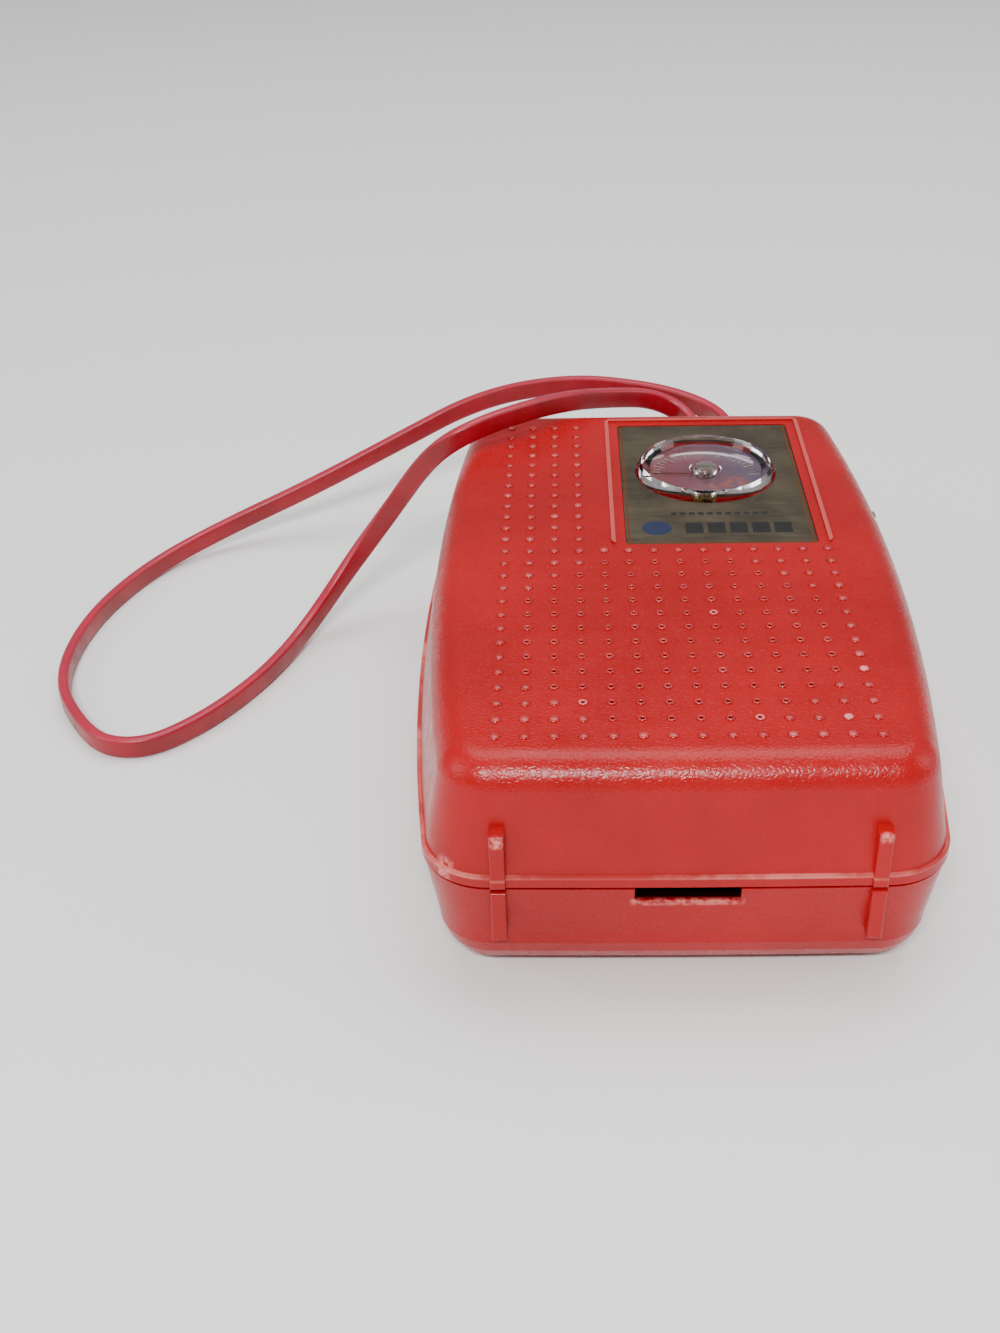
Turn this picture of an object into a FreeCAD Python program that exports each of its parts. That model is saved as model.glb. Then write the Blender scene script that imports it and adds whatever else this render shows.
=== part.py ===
import FreeCAD, Part
import math
import os

# Pocket transistor radio with a vinyl wrist strap, lying on its back.
# Frame: origin at the bottom centre of the case, X to the right when facing the dial,
# Y from the foot ribs towards the strap end, Z up through the front face. Millimetres.

V = FreeCAD.Vector

# ---- driving dimensions of the case ----
THICK = 32.0            # back to front face
HALF_W = 34.0           # at the lip, on the X axis
HALF_L = 51.6           # at the lip, on the Y axis
SIDE_R = 350.0          # plan radius of the bowed long sides
END_R = 1400.0          # plan radius of the nearly straight ends
CORNER_R = 8.2          # plan radius of the corners
WALL = 2.0
LIP_Z = 18.1            # upper edge of the lip round the front half
JOINT_Z = 16.7          # where the two halves meet
LIP_PROUD = 0.3
FRONT_DRAFT = 0.191     # run per unit rise
BACK_DRAFT = 0.169
FRONT_FILLET = 4.1
BACK_ROUND = 8.4
SHADOW_GAP = 0.5        # height of the groove under the lip
TONGUE = 1.0            # thickness of the back half's locating tongue
TONGUE_TOP = 18.2

# ---- front face ----
PITCH = 3.4             # square grid of the moulded dots
GRID_COLS = 14
GRID_FIRST_Y = -43.05   # first row, next to the foot end
SOUND_HOLE_R = 0.4
SPEAKER_Y = -20.9
SOUND_RADIUS = 21.0
PLATE_LEFT, PLATE_RIGHT = -5.4, 21.2
PLATE_FOOT, PLATE_HEAD = 2.9, 42.7
PLATE_THICK = 0.4
PLATE_RECESS = 0.5
BEAD_OFF, BEAD_W, BEAD_H = 1.4, 0.6, 0.3

# ---- tuning knob and dial ----
DIAL_X, DIAL_Y = 7.3, 26.0
KNOB_R = 10.0
POCKET_R = 10.5
POCKET_FLOOR = 29.4
CARD_THICK = 0.3
KNOB_FOOT = 30.0
KNOB_TOP = 33.5
SHAFT_R = 3.0
NECK_R = 1.2            # turned-down end of the shaft, inside the knob
NECK_Z = 28.9
HUB_SCREW_R = 0.6
SHAFT_GAP = 0.06        # running clearance

# ---- ribs and coin slot at the foot end ----
RIB_X = 21.9
RIB_W = 1.8
RIB_FACE = 52.0
RIB_TOP, RIB_LOW = 24.4, 9.0
SLOT_W, SLOT_H = 12.3, 2.4

# ---- volume wheel ----
WHEEL_X, WHEEL_Y = 18.0, 43.0
WHEEL_R = 9.0
WHEEL_Z0, WHEEL_Z1 = 18.7, 20.9

# ---- inside ----
BOARD_Z0, BOARD_Z1 = 14.0, 15.6
POSTS = [(4.0, 9.5), (25.4, 8.5), (25.4, 30.5), (4.0, 37.5)]
SPEAKER_R = 25.0
JACK_Y, JACK_Z = 22.0, 22.3
JACK_R = 1.8
ANCHOR_FACE = 50.3      # plane that the strap leaves from
STRAP_W = 3.2


def box(x0, x1, y0, y1, z0, z1):
    return Part.makeBox(x1 - x0, y1 - y0, z1 - z0, V(x0, y0, z0))


def disc(x, y, z0, z1, r):
    return Part.makeCylinder(r, z1 - z0, V(x, y, z0))


def rod_x(x0, x1, y, z, r):
    return Part.makeCylinder(r, x1 - x0, V(x0, y, z), V(1, 0, 0))


def rod_y(x, y0, y1, z, r):
    return Part.makeCylinder(r, y1 - y0, V(x, y0, z), V(0, 1, 0))


def fuse(first, *others):
    return first.multiFuse(list(others)).removeSplitter()


def cut(body, *tools):
    return body.cut(Part.makeCompound(list(tools)))


def round_box(x0, x1, y0, y1, z0, z1, r):
    """Box with its upright edges rounded."""
    solid = box(x0, x1, y0, y1, z0, z1)
    upright = [e for e in solid.Edges
               if abs(e.Vertexes[0].Z - e.Vertexes[-1].Z) > 1e-6]
    return solid.makeFillet(r, upright)


# ---- plan outline of the case, offset by grow and with tangent arcs ----

def corner_centre():
    """Centre of the corner circle that is tangent inside to side and end arcs."""
    side_c, end_c = HALF_W - SIDE_R, HALF_L - END_R
    side_d, end_d = SIDE_R - CORNER_R, END_R - CORNER_R
    x, y = HALF_W - CORNER_R, HALF_L - CORNER_R
    for _ in range(40):
        x = side_c + math.sqrt(side_d ** 2 - y ** 2)
        y = end_c + math.sqrt(end_d ** 2 - x ** 2)
    return x, y


CORNER_X, CORNER_Y = corner_centre()


def outline(grow, z, corner_min=1.2):
    """Closed wire of eight arcs at height z, grow outside the lip's outline."""
    side_c, end_c = HALF_W - SIDE_R, HALF_L - END_R
    radius = CORNER_R + grow
    cx, cy = CORNER_X, CORNER_Y
    if radius < corner_min:
        short = corner_min - radius
        cx, cy, radius = cx - short, cy - short, corner_min
    to_side = math.atan2(cy, cx - side_c)
    to_end = math.atan2(cy - end_c, cx)
    a = V(cx + radius * math.cos(to_side), cy + radius * math.sin(to_side), z)
    b = V(cx + radius * math.cos(to_end), cy + radius * math.sin(to_end), z)
    mid_angle = (to_side + to_end) / 2
    m = V(cx + radius * math.cos(mid_angle), cy + radius * math.sin(mid_angle), z)

    def flip(p, sx, sy):
        return V(sx * p.x, sy * p.y, p.z)

    side = V(HALF_W + grow, 0, z)
    end = V(0, HALF_L + grow, z)
    arcs = [
        (flip(a, 1, -1), side, a),
        (a, m, b),
        (b, end, flip(b, -1, 1)),
        (flip(b, -1, 1), flip(m, -1, 1), flip(a, -1, 1)),
        (flip(a, -1, 1), flip(side, -1, 1), flip(a, -1, -1)),
        (flip(a, -1, -1), flip(m, -1, -1), flip(b, -1, -1)),
        (flip(b, -1, -1), flip(end, 1, -1), flip(b, 1, -1)),
        (flip(b, 1, -1), flip(m, 1, -1), flip(a, 1, -1)),
    ]
    return Part.Wire([Part.Arc(*pts).toShape() for pts in arcs])


def shell_between(levels, ruled=True):
    """Solid through outlines given as (grow, z)."""
    return Part.makeLoft([outline(g, z) for g, z in levels], True, ruled)


def prism(grow, z0, z1):
    return shell_between([(grow, z0), (grow, z1)])


def fillet_at(solid, z, r):
    edges = [e for e in solid.Edges
             if all(abs(v.Z - z) < 1e-4 for v in e.Vertexes)]
    return solid.makeFillet(r, edges)


def front_grow(z):
    return -LIP_PROUD - FRONT_DRAFT * (z - LIP_Z)


def back_grow(z):
    return -0.25 - BACK_DRAFT * (JOINT_Z - SHADOW_GAP - z)


def back_levels(inset, floor, radius, top):
    """Outlines from the floor up a rounded edge and then up the drafted wall."""
    steps = 6
    wall = back_grow(floor + radius) - inset
    levels = []
    for i in range(steps + 1):
        t = math.radians(12 + 78.0 * i / steps)
        levels.append((wall - radius * (1 - math.sin(t)), floor + radius * (1 - math.cos(t))))
    levels[0] = (levels[0][0], floor)
    levels.append((back_grow(top) - inset, top))
    return levels


# ---- the two halves ----

def rib(x, z0, z1):
    """Upright standing foot on the foot end, its face on one plane."""
    bar = box(x - RIB_W / 2, x + RIB_W / 2, -RIB_FACE, -HALF_L + 3.4, z0, z1)
    outer = [e for e in bar.Edges
             if all(abs(v.Y + RIB_FACE) < 1e-6 for v in e.Vertexes)]
    return bar.makeFillet(0.3, outer)


def sound_holes():
    holes = []
    for col in range(GRID_COLS):
        for row in range(16):
            x = (col - (GRID_COLS - 1) / 2) * PITCH
            y = GRID_FIRST_Y + row * PITCH
            if math.hypot(x, y - SPEAKER_Y) < SOUND_RADIUS:
                holes.append(disc(x, y, THICK - WALL - 1, THICK + 1, SOUND_HOLE_R))
    return holes


def front_case():
    body = shell_between([(front_grow(LIP_Z), LIP_Z - 1), (front_grow(THICK), THICK)])
    body = fillet_at(body, THICK, FRONT_FILLET)
    lip = prism(0, JOINT_Z, LIP_Z)
    inner_top = THICK - WALL
    hollow = shell_between([(front_grow(LIP_Z) - WALL, JOINT_Z - 1),
                            (front_grow(LIP_Z) - WALL, LIP_Z),
                            (front_grow(inner_top) - WALL, inner_top)])
    hollow = fillet_at(hollow, inner_top, FRONT_FILLET - WALL)
    body = fuse(body, lip)
    body = body.common(box(-60, 60, -60, 60, JOINT_Z, THICK))
    ribs = [rib(s * RIB_X, JOINT_Z, RIB_TOP) for s in (-1, 1)]
    body = fuse(body, *ribs)
    body = cut(body, hollow)
    top = inner_top + 0.5
    added = [disc(DIAL_X, DIAL_Y, 27.6, top, POCKET_R + 1.6)]
    added += [disc(x, y, BOARD_Z1, top, 2.0) for x, y in POSTS]
    added += [disc(x, y, 27.0, top, 2.2) for x, y in speaker_corners()]
    body = fuse(body, *added)
    bead_out = round_box(PLATE_LEFT - BEAD_OFF - BEAD_W, PLATE_RIGHT + BEAD_OFF + BEAD_W,
                         PLATE_FOOT, PLATE_HEAD + BEAD_OFF + BEAD_W,
                         THICK - 0.4, THICK + BEAD_H, 1.2)
    bead_in = box(PLATE_LEFT - BEAD_OFF, PLATE_RIGHT + BEAD_OFF,
                  PLATE_FOOT - 2, PLATE_HEAD + BEAD_OFF, THICK - 1, THICK + 1)
    body = fuse(body, bead_out.cut(bead_in))
    recess = round_box(PLATE_LEFT, PLATE_RIGHT, PLATE_FOOT, PLATE_HEAD,
                       THICK - PLATE_RECESS, THICK + 1, 0.8)
    pocket = disc(DIAL_X, DIAL_Y, POCKET_FLOOR, THICK + 2, POCKET_R)
    shaft_hole = disc(DIAL_X, DIAL_Y, 20, THICK, SHAFT_R + 0.3)
    body = cut(body, recess, pocket, shaft_hole)
    wheel_slot = box(WHEEL_X - 8.0, WHEEL_X + 8.0, HALF_L - 6, HALF_L + 2,
                     JOINT_Z - 1, WHEEL_Z1 + 0.6)
    anchor_slot = box(4.9, 17.1, HALF_L - 6, HALF_L + 2, 22.8, 29.2)
    jack_hole = rod_x(25, 40, JACK_Y, JACK_Z, 3.1)
    jack_seat = rod_x(31.4, 40, JACK_Y, JACK_Z, 4.5)
    pilots = [disc(x, y, BOARD_Z1 - 1, 23.0, 1.2) for x, y in POSTS]
    pilots += [disc(x, y, 26.0, 29.6, 1.0) for x, y in speaker_corners()]
    body = cut(body, wheel_slot, anchor_slot, jack_hole, jack_seat, *pilots)
    return cut(body, *sound_holes())


def speaker_corners():
    reach = 19.4
    return [(sx * reach, SPEAKER_Y + sy * reach) for sx in (-1, 1) for sy in (-1, 1)]


def back_case():
    rim = JOINT_Z - SHADOW_GAP
    outer = shell_between(back_levels(0.0, 0.0, BACK_ROUND, rim))
    neck = prism(-1.0, rim - 0.5, JOINT_Z)
    ribs = [rib(s * RIB_X, RIB_LOW, rim) for s in (-1, 1)]
    tongue = prism(-LIP_PROUD - WALL - 0.1, rim - 3, TONGUE_TOP)
    body = fuse(outer, neck, tongue, *ribs)
    hollow = shell_between(back_levels(WALL, WALL, BACK_ROUND - WALL, rim - 3))
    mouth = prism(-LIP_PROUD - WALL - 0.1 - TONGUE, rim - 3.2, TONGUE_TOP + 1)
    slot = box(-SLOT_W / 2, SLOT_W / 2, -HALF_L - 2, -HALF_L + 5,
               JOINT_Z - SLOT_H, TONGUE_TOP + 1)
    return cut(body, hollow, mouth, slot)


# ---- dial side ----

def faceplate():
    sheet = round_box(PLATE_LEFT + 0.1, PLATE_RIGHT - 0.1, PLATE_FOOT + 0.1,
                      PLATE_HEAD - 0.1, THICK - PLATE_RECESS,
                      THICK - PLATE_RECESS + PLATE_THICK, 0.7)
    return cut(sheet, disc(DIAL_X, DIAL_Y, 20, 40, POCKET_R))


def dial_card():
    card = disc(DIAL_X, DIAL_Y, POCKET_FLOOR, POCKET_FLOOR + CARD_THICK, POCKET_R - 0.1)
    return cut(card, disc(DIAL_X, DIAL_Y, 20, 40, NECK_R + 0.3))


def tuning_knob():
    """Clear disc with a standing rim, a dished top and a hub."""
    seat_z = KNOB_FOOT + 1.2
    profile = [(NECK_R, KNOB_FOOT), (KNOB_R - 0.4, KNOB_FOOT), (KNOB_R, KNOB_FOOT + 0.4),
               (KNOB_R, KNOB_TOP - 0.5), (KNOB_R - 0.4, KNOB_TOP), (KNOB_R - 1.0, KNOB_TOP),
               (KNOB_R - 1.7, KNOB_TOP - 0.9), (2.4, KNOB_TOP - 1.1), (2.1, KNOB_TOP - 0.7),
               (1.6, KNOB_TOP - 0.7), (1.6, KNOB_TOP - 1.7), (HUB_SCREW_R, KNOB_TOP - 1.7),
               (HUB_SCREW_R, seat_z), (NECK_R, seat_z)]
    points = [V(DIAL_X + r, DIAL_Y, z) for r, z in profile]
    face = Part.Face(Part.makePolygon(points + [points[0]]))
    return face.revolve(V(DIAL_X, DIAL_Y, 0), V(0, 0, 1), 360)


def knob_pointer():
    return box(DIAL_X - KNOB_R + 0.8, DIAL_X - NECK_R - 0.5, DIAL_Y - 0.2, DIAL_Y + 0.2,
               KNOB_FOOT - 0.12, KNOB_FOOT)


def hub_screw():
    head = disc(DIAL_X, DIAL_Y, KNOB_TOP - 1.7, KNOB_TOP - 0.8, 1.4)
    shank = disc(DIAL_X, DIAL_Y, NECK_Z - 1.9, KNOB_TOP - 1.6, HUB_SCREW_R)
    kerf = box(DIAL_X - 3, DIAL_X + 3, DIAL_Y - 0.2, DIAL_Y + 0.2, KNOB_TOP - 1.15, KNOB_TOP)
    return cut(fuse(head, shank), kerf)


def tuning_shaft():
    shaft = disc(DIAL_X, DIAL_Y, 7.0, NECK_Z, SHAFT_R)
    neck = disc(DIAL_X, DIAL_Y, NECK_Z - 0.5, KNOB_FOOT + 1.2, NECK_R)
    return cut(fuse(shaft, neck), disc(DIAL_X, DIAL_Y, NECK_Z - 2.0, 40, HUB_SCREW_R))


def tuning_capacitor():
    body = round_box(1.3, 16.2, 17.2, 33.2, 5.0, 13.9, 0.8)
    neck = disc(DIAL_X, DIAL_Y, 13.5, 15.5, 4.0)
    bore = disc(DIAL_X, DIAL_Y, 6.9, 40, SHAFT_R + SHAFT_GAP)
    return cut(fuse(body, neck), bore)


# ---- volume control ----

def volume_pot():
    body = round_box(WHEEL_X - 6.8, WHEEL_X + 6.8, 34.2, 47.2, 9.0, 13.9, 1.0)
    neck = disc(WHEEL_X, WHEEL_Y, 13.5, 16.4, 2.6)
    return cut(fuse(body, neck), disc(WHEEL_X, WHEEL_Y, 10.0, 30, 1.5 + SHAFT_GAP))


def volume_wheel():
    wheel = disc(WHEEL_X, WHEEL_Y, WHEEL_Z0, WHEEL_Z1, WHEEL_R)
    teeth = 48
    grooves = [disc(WHEEL_X + WHEEL_R * math.cos(2 * math.pi * i / teeth),
                    WHEEL_Y + WHEEL_R * math.sin(2 * math.pi * i / teeth),
                    WHEEL_Z0 - 1, WHEEL_Z1 + 1, 0.28) for i in range(1, teeth, 1)
               if i != teeth // 4]
    dish = disc(WHEEL_X, WHEEL_Y, WHEEL_Z1 - 0.8, WHEEL_Z1 + 1, 6.4)
    seat = disc(WHEEL_X, WHEEL_Y, WHEEL_Z0 - 1, WHEEL_Z1 + 1, 1.5)
    return cut(wheel, dish, seat, *grooves)


def volume_shaft():
    shaft = disc(WHEEL_X, WHEEL_Y, 10.2, WHEEL_Z1 - 0.8, 1.5)
    head = disc(WHEEL_X, WHEEL_Y, WHEEL_Z1 - 0.8, WHEEL_Z1 + 0.2, 2.6)
    kerf = box(WHEEL_X - 3, WHEEL_X + 3, WHEEL_Y - 0.3, WHEEL_Y + 0.3, WHEEL_Z1 - 0.3, 30)
    return cut(fuse(shaft, head), kerf)


# ---- loudspeaker, facing up through the sound holes ----

BASKET_RIM_TOP, BASKET_RIM_LOW = 29.2, 28.2
BASKET_FLOOR = 22.6
MAGNET_LOW = 13.6


def turned(profile, x=0.0, y=SPEAKER_Y):
    points = [V(x + r, y, z) for r, z in profile]
    face = Part.Face(Part.makePolygon(points + [points[0]]))
    return face.revolve(V(x, y, 0), V(0, 0, 1), 360)


def speaker_basket():
    dish = turned([(6.2, BASKET_FLOOR), (13.0, BASKET_FLOOR), (23.4, BASKET_RIM_LOW),
                   (SPEAKER_R, BASKET_RIM_LOW), (SPEAKER_R, BASKET_RIM_TOP),
                   (22.8, BASKET_RIM_TOP), (12.7, BASKET_FLOOR + 0.8),
                   (6.2, BASKET_FLOOR + 0.8)])
    windows = []
    for i in range(4):
        slot = box(13.6, 19.5, -4.5, 4.5, BASKET_FLOOR + 0.4, BASKET_RIM_TOP)
        slot.rotate(V(0, 0, 0), V(0, 0, 1), 90 * i)
        slot.translate(V(0, SPEAKER_Y, 0))
        windows.append(slot)
    return cut(dish, *windows)


def speaker_top_plate():
    return turned([(5.6, 20.8), (9.6, 20.8), (9.6, BASKET_FLOOR), (5.6, BASKET_FLOOR)])


def speaker_magnet():
    return turned([(6.6, 15.6), (9.9, 15.6), (9.9, 20.8), (6.6, 20.8)])


def speaker_yoke():
    return turned([(0, MAGNET_LOW), (9.6, MAGNET_LOW), (9.6, 15.6), (4.6, 15.6),
                   (4.6, BASKET_FLOOR - 0.1), (0, BASKET_FLOOR - 0.1)])


def voice_coil():
    return turned([(4.95, 19.0), (5.25, 19.0), (5.25, 24.6), (4.95, 24.6)])


def speaker_cone():
    return turned([(5.25, 24.2), (19.6, 28.7), (21.0, 28.7), (21.0, 29.0), (19.4, 29.0),
                   (5.25, 24.6)])


def dust_cap():
    return turned([(0, 25.9), (3.0, 25.6), (5.0, 24.75), (5.6, 24.85), (5.6, 25.1),
                   (3.2, 26.0), (0, 26.3)])


def speaker_gasket():
    return turned([(22.9, BASKET_RIM_TOP), (SPEAKER_R - 0.2, BASKET_RIM_TOP),
                   (SPEAKER_R - 0.2, 29.7), (22.9, 29.7)])


def grille_cloth():
    return disc(0, SPEAKER_Y, 29.7, THICK - WALL, 24.4)


def speaker_clips():
    clips = []
    for x, y in speaker_corners():
        ang = math.degrees(math.atan2(SPEAKER_Y - y, -x))
        tab = box(-2.6, 3.9, -2.2, 2.2, 26.3, 27.0)
        toe = box(3.0, 3.9, -2.2, 2.2, 27.0, BASKET_RIM_LOW)
        tab = fuse(tab, toe)
        tab.rotate(V(0, 0, 0), V(0, 0, 1), ang)
        tab.translate(V(x, y, 0))
        clips.append(cut(tab, disc(x, y, 20, 30, 1.0)))
    return Part.makeCompound(clips)


def speaker_screws():
    return Part.makeCompound([fuse(disc(x, y, 24.9, 26.3, 1.9), disc(x, y, 26.0, 29.5, 0.95))
                              for x, y in speaker_corners()])


# ---- circuit board and what stands on it ----

def circuit_board():
    board = box(1.1, 27.6, -5.0, 46.5, BOARD_Z0, BOARD_Z1)
    far = [e for e in board.Edges
           if all(v.X > 27 and v.Y > 46 for v in e.Vertexes)]
    board = board.makeFillet(5.0, far)
    holes = [disc(x, y, 10, 20, 1.3) for x, y in POSTS]
    holes.append(disc(DIAL_X, DIAL_Y, 10, 20, 4.1))
    holes.append(disc(WHEEL_X, WHEEL_Y, 10, 20, 2.7))
    return cut(board, *holes)


def board_screws():
    return Part.makeCompound([fuse(disc(x, y, 12.6, BOARD_Z0, 1.8),
                                   disc(x, y, 13.0, 22.5, 1.15)) for x, y in POSTS])


def coil_can(x, y):
    can = round_box(x - 3.4, x + 3.4, y - 3.4, y + 3.4, 5.0, BOARD_Z0, 0.6)
    return cut(can, disc(x, y, 4.0, 7.0, 1.7))


def transformer(x):
    core = box(x - 5.2, x + 5.2, -3.6, 5.0, 7.2, 12.4)
    bobbin = round_box(x - 3.4, x + 3.4, -4.4, 5.8, 5.6, BOARD_Z0, 1.0)
    return fuse(core, bobbin)


def electrolytic(x, y):
    can = disc(x, y, BOARD_Z1, 23.4, 2.7)
    groove = Part.makeTorus(2.85, 0.35, V(x, y, 17.4))
    return cut(can, groove)


def transistors():
    places = [(10.5, 12.5), (16.0, 9.0), (13.8, 17.4), (14.0, 30.0), (20.0, 14.8), (20.2, 31.0)]
    cans = []
    for x, y in places:
        flange = disc(x, y, BOARD_Z1 + 1.5, BOARD_Z1 + 2.0, 2.4)
        can = disc(x, y, BOARD_Z1 + 1.8, BOARD_Z1 + 6.0, 2.0)
        feet = [disc(x + 1.1 * math.cos(a), y + 1.1 * math.sin(a), BOARD_Z1,
                     BOARD_Z1 + 1.8, 0.25) for a in (0.5, 2.6, 4.7)]
        cans.append(fuse(flange, can, *feet))
    return Part.makeCompound(cans)


def resistors():
    places = [(5.0, 15.0), (5.0, 18.0), (9.5, 34.2), (22.8, 27.2), (4.6, 4.2), (22.0, -2.8)]
    parts = []
    for x, y in places:
        z = BOARD_Z1 + 1.1
        body = rod_x(x - 2.2, x + 2.2, y, z, 0.95)
        legs = [disc(x + s * 2.9, y, BOARD_Z1, z + 0.4, 0.36) for s in (-1, 1)]
        lead = rod_x(x - 2.9, x + 2.9, y, z, 0.26)
        parts.append(fuse(body, lead, *legs))
    return Part.makeCompound(parts)


def ceramic_capacitors():
    places = [(12.2, 22.4), (12.8, 26.2), (17.6, 26.6), (9.4, 8.0), (21.6, 10.0)]
    return Part.makeCompound([fuse(Part.makeCylinder(2.3, 1.3, V(x, y, BOARD_Z1 + 3.4), V(0, 1, 0)),
                                   box(x - 1.4, x - 1.0, y + 0.4, y + 0.8, BOARD_Z1, BOARD_Z1 + 3),
                                   box(x + 1.0, x + 1.4, y + 0.4, y + 0.8, BOARD_Z1, BOARD_Z1 + 3))
                              for x, y in places])


def detector_diode():
    z = BOARD_Z1 + 1.2
    return fuse(rod_y(24.6, 13.0, 16.2, z, 0.9), rod_y(24.6, 12.0, 17.2, z, 0.25),
                disc(24.6, 12.1, BOARD_Z1, z, 0.25), disc(24.6, 17.1, BOARD_Z1, z, 0.25))


# ---- aerial ----

ROD_Y, ROD_Z, ROD_R = 42.6, 25.6, 2.5


def ferrite_rod():
    return rod_x(-24.5, 24.5, ROD_Y, ROD_Z, ROD_R)


def antenna_coil():
    coil = rod_x(-14.0, -2.0, ROD_Y, ROD_Z, ROD_R + 0.6)
    return cut(coil, rod_x(-20, 5, ROD_Y, ROD_Z, ROD_R))


def rod_clip(x):
    block = box(x - 2.0, x + 2.0, ROD_Y - 3.4, ROD_Y + 2.6, ROD_Z - 1.2, THICK - WALL)
    return cut(block, rod_x(x - 5, x + 5, ROD_Y, ROD_Z, ROD_R))


# ---- battery ----

BATT_X0, BATT_X1 = -26.0, 0.5
BATT_Y0, BATT_Y1 = -4.9, 41.5
BATT_Z0, BATT_Z1 = 4.9, 22.3
TERMINAL_X = [-19.1, -6.4]


def battery():
    can = box(BATT_X0, BATT_X1, BATT_Y0, BATT_Y1, BATT_Z0, BATT_Z1)
    long_edges = [e for e in can.Edges
                  if abs(e.Vertexes[0].Y - e.Vertexes[-1].Y) > 1]
    return can.makeFillet(1.6, long_edges)


def battery_terminals():
    z = (BATT_Z0 + BATT_Z1) / 2
    return Part.makeCompound([rod_y(x, BATT_Y0 - 2.4, BATT_Y0, z, 2.9) for x in TERMINAL_X])


def battery_snap():
    z = (BATT_Z0 + BATT_Z1) / 2
    strip = round_box(TERMINAL_X[0] - 5.4, TERMINAL_X[1] + 5.4, -3.4, 3.4, 0, 3.4, 3.0)
    strip.rotate(V(0, 0, 0), V(1, 0, 0), 90)
    strip.translate(V(0, BATT_Y0 - 0.4, z))
    return cut(strip, *[rod_y(x, BATT_Y0 - 2.6, BATT_Y0, z, 3.0) for x in TERMINAL_X])


def battery_divider():
    return box(0.55, 1.0, BATT_Y0, 33.0, 5.0, 21.0)


def foam_pad():
    return round_box(-21.0, -1.0, 0.0, 34.0, WALL, BATT_Z0 - 0.3, 2.0)


# ---- earphone jack in the long side ----

def jack_body():
    return round_box(20.6, 29.2, JACK_Y - 3.7, JACK_Y + 3.7, JACK_Z - 3.7, JACK_Z + 3.7, 0.5)


def earphone_jack():
    bush = rod_x(29.0, 33.0, JACK_Y, JACK_Z, 3.0)
    bore = rod_x(21.6, 34.0, JACK_Y, JACK_Z, JACK_R)
    return cut(fuse(jack_body(), bush), bore)


def jack_nut():
    return cut(rod_x(31.4, 32.6, JACK_Y, JACK_Z, 4.2), rod_x(30, 40, JACK_Y, JACK_Z, 3.0))


# ---- strap ----

def strap_anchor():
    """Steel staple plate that fills the slot in the strap end and is flanged inside."""
    plug = box(4.9, 17.1, 46.4, ANCHOR_FACE, 22.8, 29.2)
    flange = box(3.6, 18.4, 46.4, 47.1, 22.0, 27.8)
    return fuse(plug, flange)


STRAP_ROUTE = [
    (13.8, 50.3, 26.0), (13.8, 56.5, 26.0), (9.3, 63.5, 26.6), (0.5, 68.7, 27.2),
    (-13.1, 73.9, 26.6), (-28.9, 76.5, 22.7), (-44.3, 73.6, 15.5), (-59.7, 69.0, 9.0),
    (-74.4, 64.2, 3.9), (-85.2, 54.6, 1.8), (-91.3, 40.5, 1.8), (-93.6, 26.7, 1.8),
    (-92.4, 13.7, 1.8), (-87.4, 4.1, 1.8), (-81.9, -1.2, 1.8), (-75.6, -1.7, 1.8),
    (-69.8, 2.6, 1.8), (-64.7, 9.9, 1.8), (-59.9, 19.4, 1.8), (-55.7, 31.0, 2.6),
    (-48.7, 39.2, 10.2), (-41.6, 39.9, 20.4), (-37.2, 37.4, 29.2), (-32.6, 34.9, 35.0),
    (-26.9, 36.1, 37.4), (-20.2, 40.9, 37.8), (-13.3, 47.3, 36.6), (-6.6, 54.5, 33.4),
    (1.6, 60.2, 29.3), (8.2, 58.0, 26.0), (8.2, 50.3, 26.0),
]


def tube(points, radius, share=0.45, report=None):
    """Straight runs joined by tangent arcs, swept with a round section."""
    pts = [V(*p) for p in points]
    start = pts[0]
    edges, radii = [], []
    for before, here, after in zip(pts, pts[1:], pts[2:]):
        u1 = (here - before).normalize()
        u2 = (after - here).normalize()
        turn = u1.getAngle(u2)
        back = share * min((here - before).Length, (after - here).Length)
        arc_r = back / math.tan(turn / 2)
        radii.append(arc_r)
        first, last = here - u1 * back, here + u2 * back
        inward = (u2 - u1).normalize()
        mid = here + inward * (arc_r / math.cos(turn / 2) - arc_r)
        edges.append(Part.LineSegment(start, first).toShape())
        edges.append(Part.Arc(first, mid, last).toShape())
        start = last
    edges.append(Part.LineSegment(start, pts[-1]).toShape())
    path = Part.Wire(edges)
    ring = Part.Wire(Part.makeCircle(radius, pts[0], pts[1] - pts[0]))
    solid = path.makePipeShell([ring], True, False)
    if report:
        want = math.pi * radius ** 2 * path.Length
        print(report, "length", round(path.Length, 1), "volume ratio",
              round(solid.Volume / want, 4))
        print("   radii", [round(r, 1) for r in radii])
    return solid


def wrist_strap():
    return tube(STRAP_ROUTE, STRAP_W / 2, report="wrist_strap")


# ---- leads inside ----

LEAD_R = 0.5


def lead(name, *points):
    return tube(points, LEAD_R, report=name)


def battery_leads():
    z = (BATT_Z0 + BATT_Z1) / 2
    y = BATT_Y0 - 3.8 - LEAD_R
    red = lead("red lead", (TERMINAL_X[1] + 3.0, y, z), (-1.0, y - 0.3, z + 0.5),
               (2.4, -7.4, 17.0), (4.4, -4.0, 17.6), (3.4, -0.5, 16.4))
    black = lead("black lead", (TERMINAL_X[1] + 1.0, y, z + 2.6), (-1.5, y - 0.2, z + 4.2),
                 (3.0, -8.6, 19.2), (7.0, -5.0, 19.4), (7.4, -1.0, 16.6))
    return Part.makeCompound([red, black])


def speaker_leads():
    return Part.makeCompound([
        lead("speaker lead", (13.0 + s, -14.2, 21.8), (14.2 + s, -9.0, 21.0),
             (12.8 + s, -4.4, 19.0), (13.4 + s, -3.4, 16.3)) for s in (0.0, 2.2)])


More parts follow.
